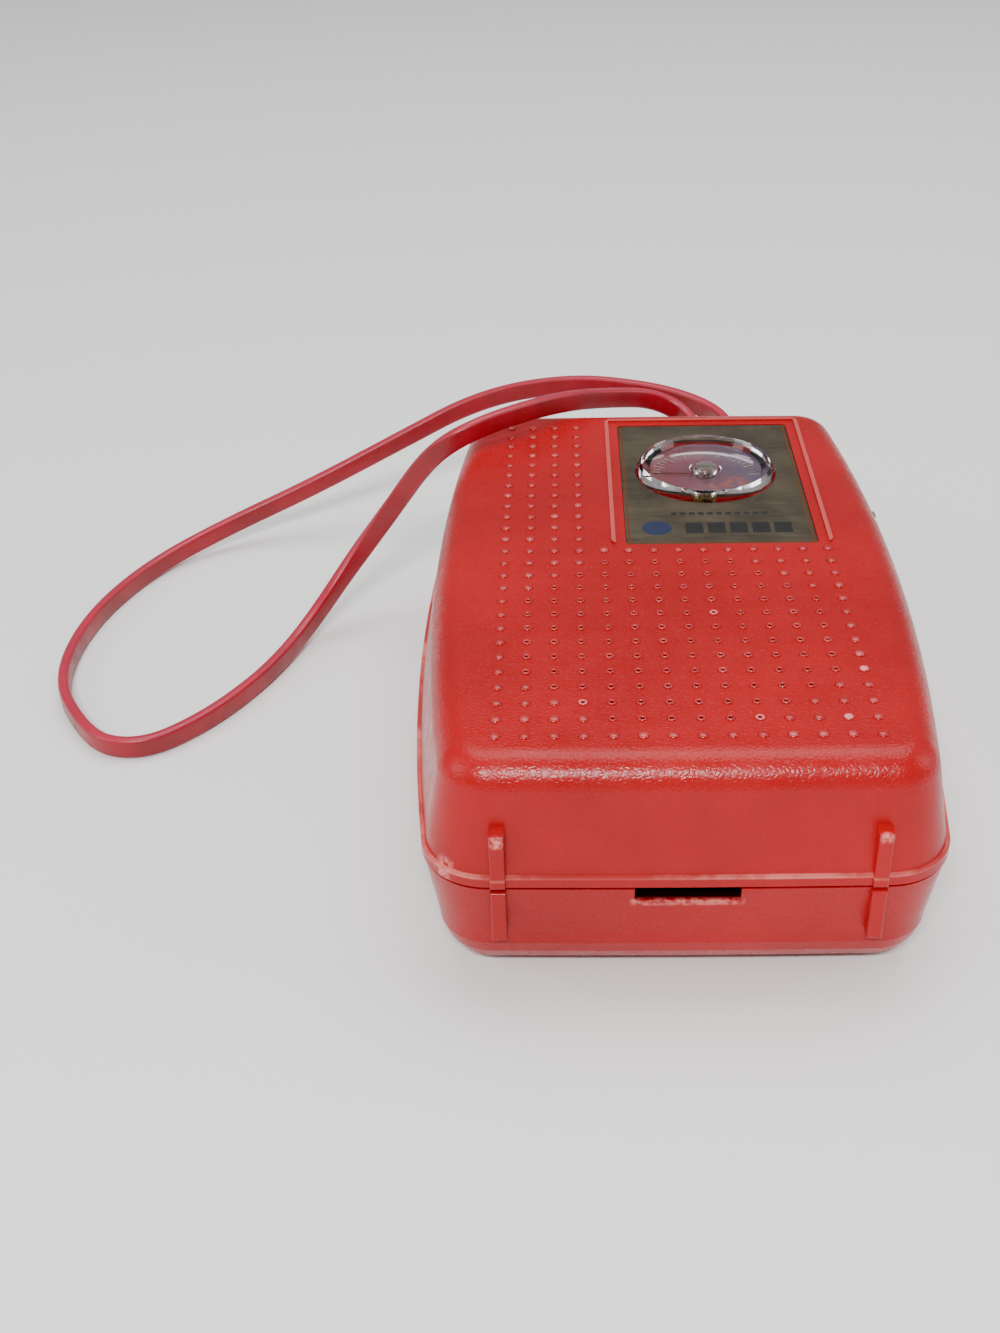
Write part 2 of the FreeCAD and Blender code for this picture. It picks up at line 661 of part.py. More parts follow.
def antenna_leads():
    return Part.makeCompound([
        lead("antenna lead", (-2.8 - 1.6 * i, 42.8 + 1.3 * i, 21.9), (-1.0, 43.2 + 1.3 * i, 20.6),
             (2.2, 43.4 + 1.3 * i, 19.4), (4.4, 43.4 + 1.3 * i, 17.8),
             (5.0, 43.2 + 1.3 * i, 16.2)) for i in (0, 1)])


PARTS = {
    "front_case": front_case,
    "back_case": back_case,
    "faceplate": faceplate,
    "dial_card": dial_card,
    "tuning_knob": tuning_knob,
    "knob_pointer": knob_pointer,
    "hub_screw": hub_screw,
    "tuning_shaft": tuning_shaft,
    "tuning_capacitor": tuning_capacitor,
    "volume_pot": volume_pot,
    "volume_wheel": volume_wheel,
    "volume_shaft": volume_shaft,
    "speaker_basket": speaker_basket,
    "speaker_top_plate": speaker_top_plate,
    "speaker_magnet": speaker_magnet,
    "speaker_yoke": speaker_yoke,
    "voice_coil": voice_coil,
    "speaker_cone": speaker_cone,
    "dust_cap": dust_cap,
    "speaker_gasket": speaker_gasket,
    "grille_cloth": grille_cloth,
    "speaker_clips": speaker_clips,
    "speaker_screws": speaker_screws,
    "circuit_board": circuit_board,
    "board_screws": board_screws,
    "coil_can_1": lambda: coil_can(19.9, 20.8),
    "coil_can_2": lambda: coil_can(19.9, 28.6),
    "coil_can_3": lambda: coil_can(10.2, 11.6),
    "coil_can_4": lambda: coil_can(18.4, 11.6),
    "driver_transformer": lambda: transformer(7.4),
    "output_transformer": lambda: transformer(20.2),
    "electrolytic_1": lambda: electrolytic(10.4, 1.8),
    "electrolytic_2": lambda: electrolytic(18.4, 2.6),
    "electrolytic_3": lambda: electrolytic(24.2, 2.2),
    "transistors": transistors,
    "resistors": resistors,
    "ceramic_capacitors": ceramic_capacitors,
    "detector_diode": detector_diode,
    "ferrite_rod": ferrite_rod,
    "antenna_coil": antenna_coil,
    "rod_clip_left": lambda: rod_clip(-20.0),
    "rod_clip_right": lambda: rod_clip(20.0),
    "battery": battery,
    "battery_terminals": battery_terminals,
    "battery_snap": battery_snap,
    "battery_divider": battery_divider,
    "foam_pad": foam_pad,
    "earphone_jack": earphone_jack,
    "jack_nut": jack_nut,
    "strap_anchor": strap_anchor,
    "wrist_strap": wrist_strap,
    "battery_leads": battery_leads,
    "speaker_leads": speaker_leads,
    "antenna_leads": antenna_leads,
}


def main():
    os.makedirs("parts", exist_ok=True)
    for name, make in PARTS.items():
        shape = make()
        if not shape.isValid():
            print("INVALID", name)
        if any(s.Volume <= 0 for s in shape.Solids) or not shape.Solids:
            print("BAD VOLUME", name)
        shape.exportStep("parts/" + name + ".step")
    print(len(PARTS), "nodes written")


main()
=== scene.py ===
# %% [markdown]
# # A pocket transistor radio
# This notebook dresses a finished mechanical model. Every solid of the radio is already there, at
# its real size and place, and moves on its own joint. What is left is what the eye asks for: the
# leather grain of the moulded case, the rows of raised dots, the printed plate and dial, the clear
# knob, the soft strap, and believable materials on the pieces inside.
# We start by loading the model.

import math

import bmesh
import bpy
from mathutils import Matrix, Vector


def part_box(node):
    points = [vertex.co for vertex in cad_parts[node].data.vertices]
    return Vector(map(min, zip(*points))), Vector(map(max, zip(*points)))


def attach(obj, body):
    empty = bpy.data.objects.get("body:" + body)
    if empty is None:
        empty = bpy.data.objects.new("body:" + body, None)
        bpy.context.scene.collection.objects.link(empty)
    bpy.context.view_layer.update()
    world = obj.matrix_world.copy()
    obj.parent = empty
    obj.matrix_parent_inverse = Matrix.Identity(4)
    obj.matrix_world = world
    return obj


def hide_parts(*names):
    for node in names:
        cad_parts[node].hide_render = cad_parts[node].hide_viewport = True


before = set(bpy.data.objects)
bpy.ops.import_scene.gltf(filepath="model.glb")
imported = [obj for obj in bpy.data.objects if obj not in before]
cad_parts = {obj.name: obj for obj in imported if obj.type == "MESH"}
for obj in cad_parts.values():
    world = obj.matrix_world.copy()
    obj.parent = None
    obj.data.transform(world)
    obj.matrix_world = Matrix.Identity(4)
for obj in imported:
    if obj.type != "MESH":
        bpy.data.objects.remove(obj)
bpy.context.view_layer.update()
MM = 0.001

# %% [markdown]
# ## The camera
# The radio lies on its back and is looked at from its foot end, from a bit above, by a camera that is
# tipped about one degree. We build the camera's three axes from those angles, because then each number
# can be read as a plain instruction: how high, how far turned, how far tipped.

# %% Camera
CAMERA_AT = Vector((-13.9, -189.3, 134.8)) * MM
CAMERA_UP_ANGLE = math.radians(34.0)
CAMERA_TURN = math.radians(1.14)
CAMERA_ROLL = math.radians(-1.12)
LENS_MM, SENSOR_MM = 42.4, 36
FRAME_SHIFT = (-0.03, 0.03)

back = Vector((math.sin(CAMERA_TURN) * math.cos(CAMERA_UP_ANGLE),
               -math.cos(CAMERA_TURN) * math.cos(CAMERA_UP_ANGLE),
               math.sin(CAMERA_UP_ANGLE)))
level = Vector((math.cos(CAMERA_TURN), math.sin(CAMERA_TURN), 0))
upright = back.cross(level)
right = level * math.cos(CAMERA_ROLL) + upright * math.sin(CAMERA_ROLL)
up = upright * math.cos(CAMERA_ROLL) - level * math.sin(CAMERA_ROLL)
camera = bpy.data.objects.new("camera", bpy.data.cameras.new("camera"))
camera.data.lens = LENS_MM
camera.data.sensor_width = SENSOR_MM
camera.data.shift_x, camera.data.shift_y = FRAME_SHIFT
camera.data.clip_start = 0.01
turn = Matrix((right, up, back)).transposed()
camera.matrix_world = Matrix.Translation(CAMERA_AT) @ turn.to_4x4()
bpy.context.scene.collection.objects.link(camera)
bpy.context.scene.camera = camera
print("camera", [round(v, 3) for v in CAMERA_AT])

# %% [markdown]
# ## Floor and light
# A pale matte floor and big soft lamps suit glossy plastic, which shows every lamp as a bright shape. The
# narrow lamp in front draws the highlight along the rounded front fold. The big one overhead lights the
# face, and the two at the sides keep the walls from going dark.

# %% Floor and lamps
def area_lamp(name, place, aim, size, watts):
    """Soft rectangular lamp at a place in metres, turned towards a point."""
    lamp = bpy.data.objects.new(name, bpy.data.lights.new(name, "AREA"))
    lamp.data.shape = "RECTANGLE"
    lamp.data.size, lamp.data.size_y = size
    lamp.data.energy = watts
    lamp.location = place
    lamp.rotation_euler = (Vector(aim) - Vector(place)).to_track_quat("-Z", "Y").to_euler()
    bpy.context.scene.collection.objects.link(lamp)


FLOOR_HALF = 1.5
WORLD_STRENGTH = 0.35
floor_mesh = bpy.data.meshes.new("studio_floor")
corners = [(-1, -1), (1, -1), (1, 1), (-1, 1)]
floor_mesh.from_pydata([(x * FLOOR_HALF, y * FLOOR_HALF, 0) for x, y in corners], [],
                       [(0, 1, 2, 3)])
floor = bpy.data.objects.new("studio_floor", floor_mesh)
bpy.context.scene.collection.objects.link(floor)
paper = bpy.data.materials.new("matte_backdrop_paper")
paper.use_nodes = True
paper_shader = paper.node_tree.nodes["Principled BSDF"]
paper_shader.inputs["Base Color"].default_value = (0.80, 0.80, 0.79, 1)
paper_shader.inputs["Roughness"].default_value = 0.9
floor_mesh.materials.append(paper)

area_lamp("overhead", (0.05, 0.25, 0.85), (0, 0, 0), (0.8, 0.6), 6.5)
area_lamp("left_fill", (-0.75, -0.2, 0.45), (0, 0, 0.02), (0.5, 0.5), 2.6)
area_lamp("right_fill", (0.8, 0.0, 0.4), (0, 0, 0.02), (0.4, 0.5), 1.8)
area_lamp("front_strip", (-0.05, -0.42, 0.42), (0, -0.04, 0.02), (0.18, 0.03), 3.4)
world = bpy.data.worlds.new("studio")
world.use_nodes = True
world.node_tree.nodes["Background"].inputs[0].default_value = (1.0, 1.0, 1.0, 1)
world.node_tree.nodes["Background"].inputs[1].default_value = WORLD_STRENGTH
bpy.context.scene.world = world

# %% [markdown]
# ## Small helpers
# Colours are written as the hex values a painter would pick and turned to linear light by one
# function. One function adds a node to any tree, with its settings, values and links, and hands back
# the output, so a material or a geometry tree reads like a recipe. The names in capitals only
# shorten Blender's long ones. Patterns are laid out on the object's own coordinates, in metres.

# %% Colour and node helpers
MATH, VECTOR, RANGE = "ShaderNodeMath", "ShaderNodeVectorMath", "ShaderNodeMapRange"
NOISE, CELLS = "ShaderNodeTexNoise", "ShaderNodeTexVoronoi"
MIX, BUMP, SPLIT = "ShaderNodeMix", "ShaderNodeBump", "ShaderNodeSeparateXYZ"
COLOUR = {"data_type": "RGBA"}
SOFT = {"interpolation_type": "SMOOTHSTEP"}


def linear(hex_colour):
    """Linear RGBA of an sRGB hex value such as 'c0102a'."""
    values = [int(hex_colour[i:i + 2], 16) / 255 for i in (0, 2, 4)]
    return tuple(v / 12.92 if v <= 0.04045 else ((v + 0.055) / 1.055) ** 2.4
                 for v in values) + (1.0,)


def node(tree, kind, values=None, out=None, **settings):
    """Add a node and return an output. A value that is a socket is linked, any other is set."""
    made = tree.nodes.new(kind)
    for name, value in settings.items():
        setattr(made, name, value)
    for key, value in (values or {}).items():
        if isinstance(value, bpy.types.NodeSocket):
            tree.links.new(value, made.inputs[key])
        else:
            made.inputs[key].default_value = value
    if out is not None:
        return made.outputs[out]
    return next((socket for socket in made.outputs if socket.enabled), None)


def per_mm(size_mm):
    """Texture scale that gives a pattern of this size, on coordinates in metres."""
    return 1.0 / (size_mm * MM)


print("case red in linear light", [round(v, 3) for v in linear("a6000c")])

# %% [markdown]
# Every material starts with an empty tree and the object's coordinates, and ends with one Principled
# shader. Three patterns turn up again and again: a cloud that comes and goes between two levels, a
# slab that is 1 between two limits, and a spot that fades with distance. They are small recipes of
# their own, so that each finish can name what it shows: a scuff, a grime, a printed line.

# %% Material helpers
def start(name):
    """New material; returns it with its tree and the object's coordinates."""
    material = bpy.data.materials.new(name)
    material.use_nodes = True
    material.node_tree.nodes.clear()
    return material, material.node_tree, node(material.node_tree, "ShaderNodeTexCoord",
                                              out="Object")


def dress(tree, values):
    """End a recipe: the Principled shader with these values, and the output."""
    shader = node(tree, "ShaderNodeBsdfPrincipled", values)
    node(tree, "ShaderNodeOutputMaterial", {"Surface": shader})


def axes_of(tree, place):
    """The three outputs of a place: across, along and up."""
    split = tree.nodes.new(SPLIT)
    tree.links.new(place, split.inputs[0])
    return split.outputs


def fine_grain(tree, place, size_mm, depth_mm, strength):
    """Bump of a small even grain."""
    grain = node(tree, NOISE, {"Vector": place, "Scale": per_mm(size_mm)})
    return node(tree, BUMP, {"Strength": strength, "Distance": depth_mm * MM, "Height": grain})


def patches(tree, place, size_mm, low=0.4, high=0.6, to_low=0.0, to_high=1.0):
    """Cloudy patches of one size, between two levels."""
    cloud = node(tree, NOISE, {"Vector": place, "Scale": per_mm(size_mm), "Detail": 5.0,
                               "Roughness": 0.6})
    return node(tree, RANGE, {0: cloud, 1: low, 2: high, 3: to_low, 4: to_high}, **SOFT)


def slab(tree, value, low, high, soft):
    """1 where a value lies between two limits, with soft ends."""
    rise = node(tree, RANGE, {0: value, 1: low - soft, 2: low + soft}, **SOFT)
    fall = node(tree, RANGE, {0: value, 1: high - soft, 2: high + soft, 3: 1.0, 4: 0.0}, **SOFT)
    return node(tree, MATH, {0: rise, 1: fall}, operation="MULTIPLY")


def spots(tree, place, centres):
    """1 at each of some centres, given as (point, radius), fading to 0 at its radius."""
    total = 0.0
    for centre, radius in centres:
        away = node(tree, VECTOR, {0: place, 1: centre}, operation="DISTANCE")
        here = node(tree, RANGE, {0: away, 1: radius * 0.35, 2: radius, 3: 1.0, 4: 0.0}, **SOFT)
        total = node(tree, MATH, {0: here, 1: total}, operation="MAXIMUM")
    return total


def plain_finish(name, dark, light, roughness, patch_mm, grain_mm, grain_depth_mm, **sockets):
    """A worn but even surface: two close colours in patches, uneven gloss and a fine grain."""
    material, tree, place = start(name)
    cloud = patches(tree, place, patch_mm, 0.3, 0.7)
    colour = node(tree, MIX, {0: cloud, 6: linear(dark), 7: linear(light)}, **COLOUR)
    gloss = patches(tree, place, patch_mm * 0.4, 0.3, 0.7, roughness * 0.8, roughness * 1.25)
    grain = node(tree, NOISE, {"Vector": place, "Scale": per_mm(grain_mm), "Detail": 2.0})
    bump = node(tree, BUMP, {"Strength": 0.6, "Distance": grain_depth_mm * MM, "Height": grain})
    dress(tree, {"Base Color": colour, "Roughness": gloss, "Normal": bump,
                 **{key.replace("_", " "): value for key, value in sockets.items()}})
    return material


def give(material, *names):
    """Put a material on carried CAD nodes."""
    for name in names:
        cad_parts[name].data.materials.clear()
        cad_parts[name].data.materials.append(material)


print("helpers ready")

# %% [markdown]
# ## The wrist strap
# The strap is one band of soft vinyl, 3.2 mm wide and 1.7 mm thick, that leaves the far end, makes
# a loop beside the radio and comes back over the corner. It stands on its edge, so the broad face is
# upright. The route is a short list of points. A NURBS curve with those points turns them into one
# smooth line, and we read that line back as a fine row of points for the band to follow.

# %% Strap route
STRAP_WIDTH = 3.2 * MM
STRAP_THICK = 1.7 * MM
STRAP_EXIT = (13.8, 50.3, 26.0)
STRAP_ROUTE = [
    STRAP_EXIT, (13.8, 56.5, 26.0), (9.3, 63.5, 26.6), (0.5, 68.7, 27.2),
    (-13.1, 73.9, 26.6), (-28.9, 76.5, 22.7), (-44.3, 73.6, 15.5), (-59.7, 69.0, 9.0),
    (-74.4, 64.2, 3.9), (-85.2, 54.6, 1.8), (-91.3, 40.5, 1.8), (-93.6, 26.7, 1.8),
    (-92.4, 13.7, 1.8), (-86.8, 3.7, 1.8), (-81.7, -1.8, 1.8), (-75.4, -2.0, 1.8),
    (-69.8, 2.9, 1.8), (-64.7, 9.9, 1.8), (-59.9, 19.4, 1.8), (-55.7, 31.0, 2.6),
    (-48.7, 39.2, 10.2), (-41.2, 39.7, 20.2), (-36.4, 36.9, 27.9), (-32.3, 34.4, 32.8),
    (-26.9, 36.1, 35.0), (-20.2, 40.9, 35.4), (-13.3, 47.3, 34.4), (-6.6, 54.5, 31.8),
    (1.6, 60.2, 29.3), (8.2, 58.0, 26.0), (8.2, 50.3, 26.0),
]


def smooth_line(route, resolution=10):
    """Points along the NURBS curve of a route, in metres, and their total length."""
    curve = bpy.data.curves.new("route", "CURVE")
    curve.dimensions = "3D"
    curve.resolution_u = resolution
    spline = curve.splines.new("NURBS")
    spline.points.add(len(route) - 1)
    for point, place in zip(spline.points, route):
        point.co = (*(v * MM for v in place), 1)
    spline.order_u = 3
    spline.use_endpoint_u = True
    holder = bpy.data.objects.new("route", curve)
    bpy.context.scene.collection.objects.link(holder)
    bpy.context.view_layer.update()
    mesh = bpy.data.meshes.new_from_object(holder)
    line = [v.co.copy() for v in mesh.vertices]
    bpy.data.objects.remove(holder)
    bpy.data.meshes.remove(mesh)
    bpy.data.curves.remove(curve)
    return line, sum((b - a).length for a, b in zip(line, line[1:]))


strap_line, strap_length = smooth_line(STRAP_ROUTE)
print("strap length, mm", round(strap_length / MM, 1), "points", len(strap_line))

# %% [markdown]
# The band's section is a rounded bar. We carry it along the line, keeping its broad face upright, and
# write down how far along and how far across each corner lies as a UV map. The wear and the painted
# highlight along each edge then follow the strap round every bend.

# %% Strap band
def bar_section(width, thick, bevel, steps=3):
    """Rounded rectangle as (across, outwards) pairs, anticlockwise."""
    pairs = []
    for sx, sy, start in ((1, 1, 0), (-1, 1, 90), (-1, -1, 180), (1, -1, 270)):
        for step in range(steps + 1):
            angle = math.radians(start + 90 * step / steps)
            pairs.append((sx * (width / 2 - bevel) + bevel * math.cos(angle),
                          sy * (thick / 2 - bevel) + bevel * math.sin(angle)))
    return pairs


def band_mesh(name, line, section, width):
    """Closed band along a line, its section's first axis kept as upright as the line allows."""
    built = bmesh.new()
    rings = []
    for i, here in enumerate(line):
        ahead = (line[min(i + 1, len(line) - 1)] - line[max(i - 1, 0)]).normalized()
        tall = (Vector((0, 0, 1)) - ahead * ahead.z).normalized()
        side = ahead.cross(tall)
        rings.append([built.verts.new(here + tall * a + side * b) for a, b in section])
    uv = built.loops.layers.uv.new("along_across")
    run = [0.0]
    for a, b in zip(line, line[1:]):
        run.append(run[-1] + (b - a).length)
    count = len(section)
    for i in range(len(rings) - 1):
        for j in range(count):
            k = (j + 1) % count
            face = built.faces.new((rings[i][j], rings[i + 1][j], rings[i + 1][k], rings[i][k]))
            face.smooth = True
            for loop, (n, m) in zip(face.loops, ((i, j), (i + 1, j), (i + 1, k), (i, k))):
                loop[uv].uv = (run[n], 0.5 + section[m][0] / width)
    built.faces.new(rings[0])
    built.faces.new(reversed(rings[-1]))
    bmesh.ops.recalc_face_normals(built, faces=built.faces)
    mesh = bpy.data.meshes.new(name)
    built.to_mesh(mesh)
    built.free()
    return mesh


def add_piece(name, mesh, material, body, replaces=()):
    """Put a finished mesh in the scene and tie it to its body, slot and replaced nodes."""
    piece = bpy.data.objects.new(name, mesh)
    bpy.context.scene.collection.objects.link(piece)
    mesh.materials.clear()
    mesh.materials.append(material)
    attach(piece, body)
    if replaces:
        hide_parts(*replaces)
    return piece


# %% [markdown]
# Plasticised PVC is soft, smooth and slightly greasy to the eye: a dielectric of IOR about 1.5 with a
# clear but broad highlight. The band has a paler line near each edge, a painted highlight of its rounded
# edges, small scuffs that show pink, and a faint waviness left by the calender rolls.

# %% Strap vinyl
def strap_vinyl():
    material, tree, place = start("calendered_soft_vinyl_crimson")
    along = node(tree, "ShaderNodeUVMap", uv_map="along_across")
    across = axes_of(tree, along)[1]
    centred = node(tree, MATH, {0: across, 1: 0.5}, operation="SUBTRACT")
    off_centre = node(tree, MATH, {0: centred}, operation="ABSOLUTE")
    # Painted highlight: a paler line near each edge of the band (b82a48) stands in for the light on its
    # rounded edges.
    edge = node(tree, RANGE, {0: off_centre, 1: 0.34, 2: 0.47, 3: 0.0, 4: 0.5}, **SOFT)
    scuff = patches(tree, place, 1.6, 0.60, 0.76, 0.0, 0.35)
    deep = node(tree, MIX, {0: patches(tree, place, 9.0, 0.3, 0.7), 6: linear("7a000c"),
                            7: linear("94001a")}, **COLOUR)
    worn = node(tree, MIX, {0: scuff, 6: deep, 7: linear("a01c34")}, **COLOUR)
    pale = node(tree, MIX, {0: edge, 6: worn, 7: linear("b82a48")}, **COLOUR)
    grain = fine_grain(tree, place, 0.5, 0.06, 0.35)
    swell = node(tree, NOISE, {"Vector": place, "Scale": per_mm(6.0), "Detail": 1.0})
    wave = node(tree, BUMP, {"Strength": 0.4, "Distance": 0.25 * MM, "Height": swell,
                             "Normal": grain})
    dress(tree, {"Base Color": pale, "Roughness": patches(tree, place, 3.0, 0.3, 0.7, 0.30, 0.45),
                 "IOR": 1.50, "Normal": wave})
    return material


strap_mesh = band_mesh("wrist_strap_band", strap_line,
                       bar_section(STRAP_WIDTH, STRAP_THICK, 0.55 * MM), STRAP_WIDTH)
strap = add_piece("wrist_strap_band", strap_mesh, strap_vinyl(), "radio",
                  ["wrist_strap"])
print("strap faces", len(strap_mesh.polygons))

# %% [markdown]
# ## The moulded case
# The two halves are injection-moulded polystyrene, dyed red all through and polished in the tool. The
# front face was textured like fine leather, the end wall was left glossy, and the back half has a finer
# grain. Real leather grain is a net of shallow valleys between small plump cells, and a Voronoi pattern
# measured to the cell edges draws just that. Bump is right for it, because each valley is only a few
# hundredths of a millimetre deep and never shows against the outline.

# %% Case grain, wear, painted highlight and painted shade
case_low, case_high = (Vector(v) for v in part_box("front_case"))
plate_low, plate_high = (Vector(v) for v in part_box("faceplate"))
FOOT_Y = case_low.y
FACE_Z = 32.0 * MM
LIP_Z = 18.1 * MM
SLOT_FLOOR_Z = 14.3 * MM
SLOT_HALF = 6.15 * MM
RIB_X = 21.9 * MM
BEAD_EDGES = (1.15 * MM, 2.15 * MM)


def leather(tree, place, cell_mm):
    """Height of a leather grain: plump cells with narrow valleys between them."""
    drift = node(tree, NOISE, {"Vector": place, "Scale": per_mm(cell_mm * 1.6)}, out="Color")
    centred = node(tree, VECTOR, {0: drift, 1: (0.5, 0.5, 0.5)}, operation="SUBTRACT")
    pushed = node(tree, VECTOR, {0: centred, 3: cell_mm * MM}, operation="SCALE")
    bent = node(tree, VECTOR, {0: place, 1: pushed})
    edge = node(tree, CELLS, {"Vector": bent, "Scale": per_mm(cell_mm)},
                feature="DISTANCE_TO_EDGE")
    return node(tree, RANGE, {0: edge, 1: 0.0, 2: 0.28}, **SOFT)


def lip_highlight_and_wear(tree, place, height):
    """The lip's crest: a thin pale line all round, painted as a highlight, broken and stronger in places
    where it is rubbed.
    """
    band = slab(tree, height, LIP_Z - 0.25 * MM, LIP_Z + 0.10 * MM, 0.12 * MM)
    rubbed = patches(tree, place, 9.0, 0.42, 0.66, 0.15, 0.8)
    return node(tree, MATH, {0: band, 1: rubbed}, operation="MULTIPLY")


def bead_wear(tree, axes):
    """The raised bead round the plate, rubbed pale on its crest."""
    masks = []
    for ring in BEAD_EDGES:
        wide = slab(tree, axes[0], plate_low.x - ring, plate_high.x + ring, 0.05 * MM)
        tall = slab(tree, axes[1], plate_low.y - ring, plate_high.y + ring, 0.05 * MM)
        masks.append(node(tree, MATH, {0: wide, 1: tall}, operation="MULTIPLY"))
    frame_only = node(tree, MATH, {0: masks[1], 1: masks[0]}, operation="SUBTRACT",
                      use_clamp=True)
    crest = node(tree, RANGE, {0: axes[2], 1: FACE_Z + 0.12 * MM, 2: FACE_Z + 0.28 * MM}, **SOFT)
    worn = node(tree, MATH, {0: frame_only, 1: crest}, operation="MULTIPLY")
    return node(tree, MATH, {0: worn, 1: 0.30}, operation="MULTIPLY")


def slot_painted_shade(tree, axes):
    """Painted shade inside the coin slot behind its lip: a near-black patch where the slot's inside lies
    in shade.
    """
    tall = slab(tree, axes[2], SLOT_FLOOR_Z - 0.3 * MM, LIP_Z, 0.2 * MM)
    wide = slab(tree, axes[0], -SLOT_HALF - 0.2 * MM, SLOT_HALF + 0.2 * MM, 0.1 * MM)
    deep = slab(tree, axes[1], FOOT_Y + 1.4 * MM, FOOT_Y + 7.0 * MM, 0.4 * MM)
    inside = node(tree, MATH, {0: tall, 1: wide}, operation="MULTIPLY")
    return node(tree, MATH, {0: inside, 1: deep}, operation="MULTIPLY")


def scuffs(tree, place, axes):
    """The few places that hands, coins and pockets have rubbed through the gloss."""
    rubbed = spots(tree, place, [
        ((-RIB_X, FOOT_Y, 23.6 * MM), 1.1 * MM), ((RIB_X, FOOT_Y, 24.0 * MM), 1.0 * MM),
        ((-28.5 * MM, -49.6 * MM, LIP_Z), 2.0 * MM),
        ((-28.5 * MM, -20.0 * MM, 28.6 * MM), 2.8 * MM),
        ((29.2 * MM, -20.0 * MM, 28.2 * MM), 2.6 * MM)])
    sill = slab(tree, axes[2], SLOT_FLOOR_Z - 0.9 * MM, SLOT_FLOOR_Z + 0.2 * MM, 0.15 * MM)
    beside = slab(tree, axes[0], -SLOT_HALF - 0.4 * MM, SLOT_HALF + 0.4 * MM, 0.3 * MM)
    foot = node(tree, RANGE, {0: axes[1], 1: FOOT_Y + 0.7 * MM, 2: FOOT_Y + 1.5 * MM,
                              3: 1.0, 4: 0.0})
    coin = node(tree, MATH, {0: sill, 1: beside}, operation="MULTIPLY")
    coin = node(tree, MATH, {0: coin, 1: foot}, operation="MULTIPLY")
    both = node(tree, MATH, {0: rubbed, 1: coin}, operation="MAXIMUM")
    torn = patches(tree, place, 0.8, 0.38, 0.60)
    return node(tree, MATH, {0: both, 1: torn}, operation="MULTIPLY")


# %% [markdown]
# The plastic itself is a clean dielectric with a tight highlight. Its specular level is set lower than
# the physical half, because a pale floor and walls would otherwise wash the red out. Its red is deep and
# nearly without green or blue for the same reason. Pocket grime sits in soft patches, and where the gloss
# is rubbed away the red turns pink and dull.

# %% Case plastic
def case_plastic(name, grain_face, grain_wall):
    material, tree, place = start(name)
    axes = axes_of(tree, place)
    body = node(tree, MIX, {0: patches(tree, place, 26.0, 0.3, 0.7), 6: linear("940006"),
                            7: linear("a6000c")}, **COLOUR)
    grime = patches(tree, place, 5.0, 0.66, 0.80, 0.0, 0.10)
    body = node(tree, MIX, {0: grime, 6: body, 7: linear("7a0408")}, **COLOUR)
    # Painted shade: the inside of the coin slot is coloured near black (140203) to stand in for its
    # shade.
    body = node(tree, MIX, {0: slot_painted_shade(tree, axes), 6: body, 7: linear("140203")}, **COLOUR)
    # The marks carry the lip's painted highlight together with the real scuffs and the bead's wear.
    marks = node(tree, MATH, {0: lip_highlight_and_wear(tree, place, axes[2]), 1: scuffs(tree, place, axes)},
                 operation="MAXIMUM")
    marks = node(tree, MATH, {0: marks, 1: bead_wear(tree, axes)}, operation="MAXIMUM")
    shown = node(tree, MATH, {0: marks, 1: 0.75}, operation="MULTIPLY")
    worn = node(tree, MIX, {0: shown, 6: body, 7: linear("ee8f86")}, **COLOUR)
    gloss = patches(tree, place, 3.0, 0.3, 0.75, 0.25, 0.36)
    dull = node(tree, MATH, {0: marks, 1: 0.3, 2: gloss}, operation="MULTIPLY_ADD")
    depth = node(tree, RANGE, {0: axes[2], 1: 26.6 * MM, 2: 29.6 * MM, 3: grain_wall,
                               4: grain_face}, **SOFT)
    grained = node(tree, MATH, {0: leather(tree, place, 0.62), 1: depth}, operation="MULTIPLY")
    bump = node(tree, BUMP, {"Strength": 0.8, "Distance": 0.024 * MM, "Height": grained})
    sink = node(tree, NOISE, {"Vector": place, "Scale": per_mm(16.0), "Detail": 1.0})
    flow = node(tree, BUMP, {"Strength": 0.4, "Distance": 0.25 * MM, "Height": sink,
                             "Normal": bump})
    dress(tree, {"Base Color": worn, "Roughness": dull, "IOR": 1.50, "Specular IOR Level": 0.3,
                 "Normal": flow})
    return material


give(case_plastic("injection_moulded_polystyrene_red_front", 1.0, 0.06), "front_case")
give(case_plastic("injection_moulded_polystyrene_red_back", 0.5, 0.5), "back_case")
print("case, mm", [round(v / MM, 1) for v in case_low], [round(v / MM, 1) for v in case_high])

# %% [markdown]
# ## Geometry trees
# The radio has three things that repeat: the dots on its face, the marks round its dial and the turns
# of its aerial coil. Each is a small geometry tree. Two helpers do what all three need: one makes the
# tree with named sizes, and one runs it once and keeps only the plain mesh.

# %% Tree helpers
def geometry_tree(name, sizes):
    """Empty geometry tree with these named size inputs; returns it and the sockets' ids."""
    tree = bpy.data.node_groups.new(name, "GeometryNodeTree")
    ids = {label: tree.interface.new_socket(label, in_out="INPUT",
                                            socket_type="NodeSocketFloat").identifier
           for label in sizes}
    tree.interface.new_socket("Geometry", in_out="OUTPUT", socket_type="NodeSocketGeometry")
    return tree, ids


def end_tree(tree, geometry, material):
    """Every tree ends the same way: real copies, one material, out."""
    real = node(tree, "GeometryNodeRealizeInstances", {0: geometry})
    dressed = node(tree, "GeometryNodeSetMaterial", {0: real, "Material": material})
    node(tree, "NodeGroupOutput", {0: dressed})


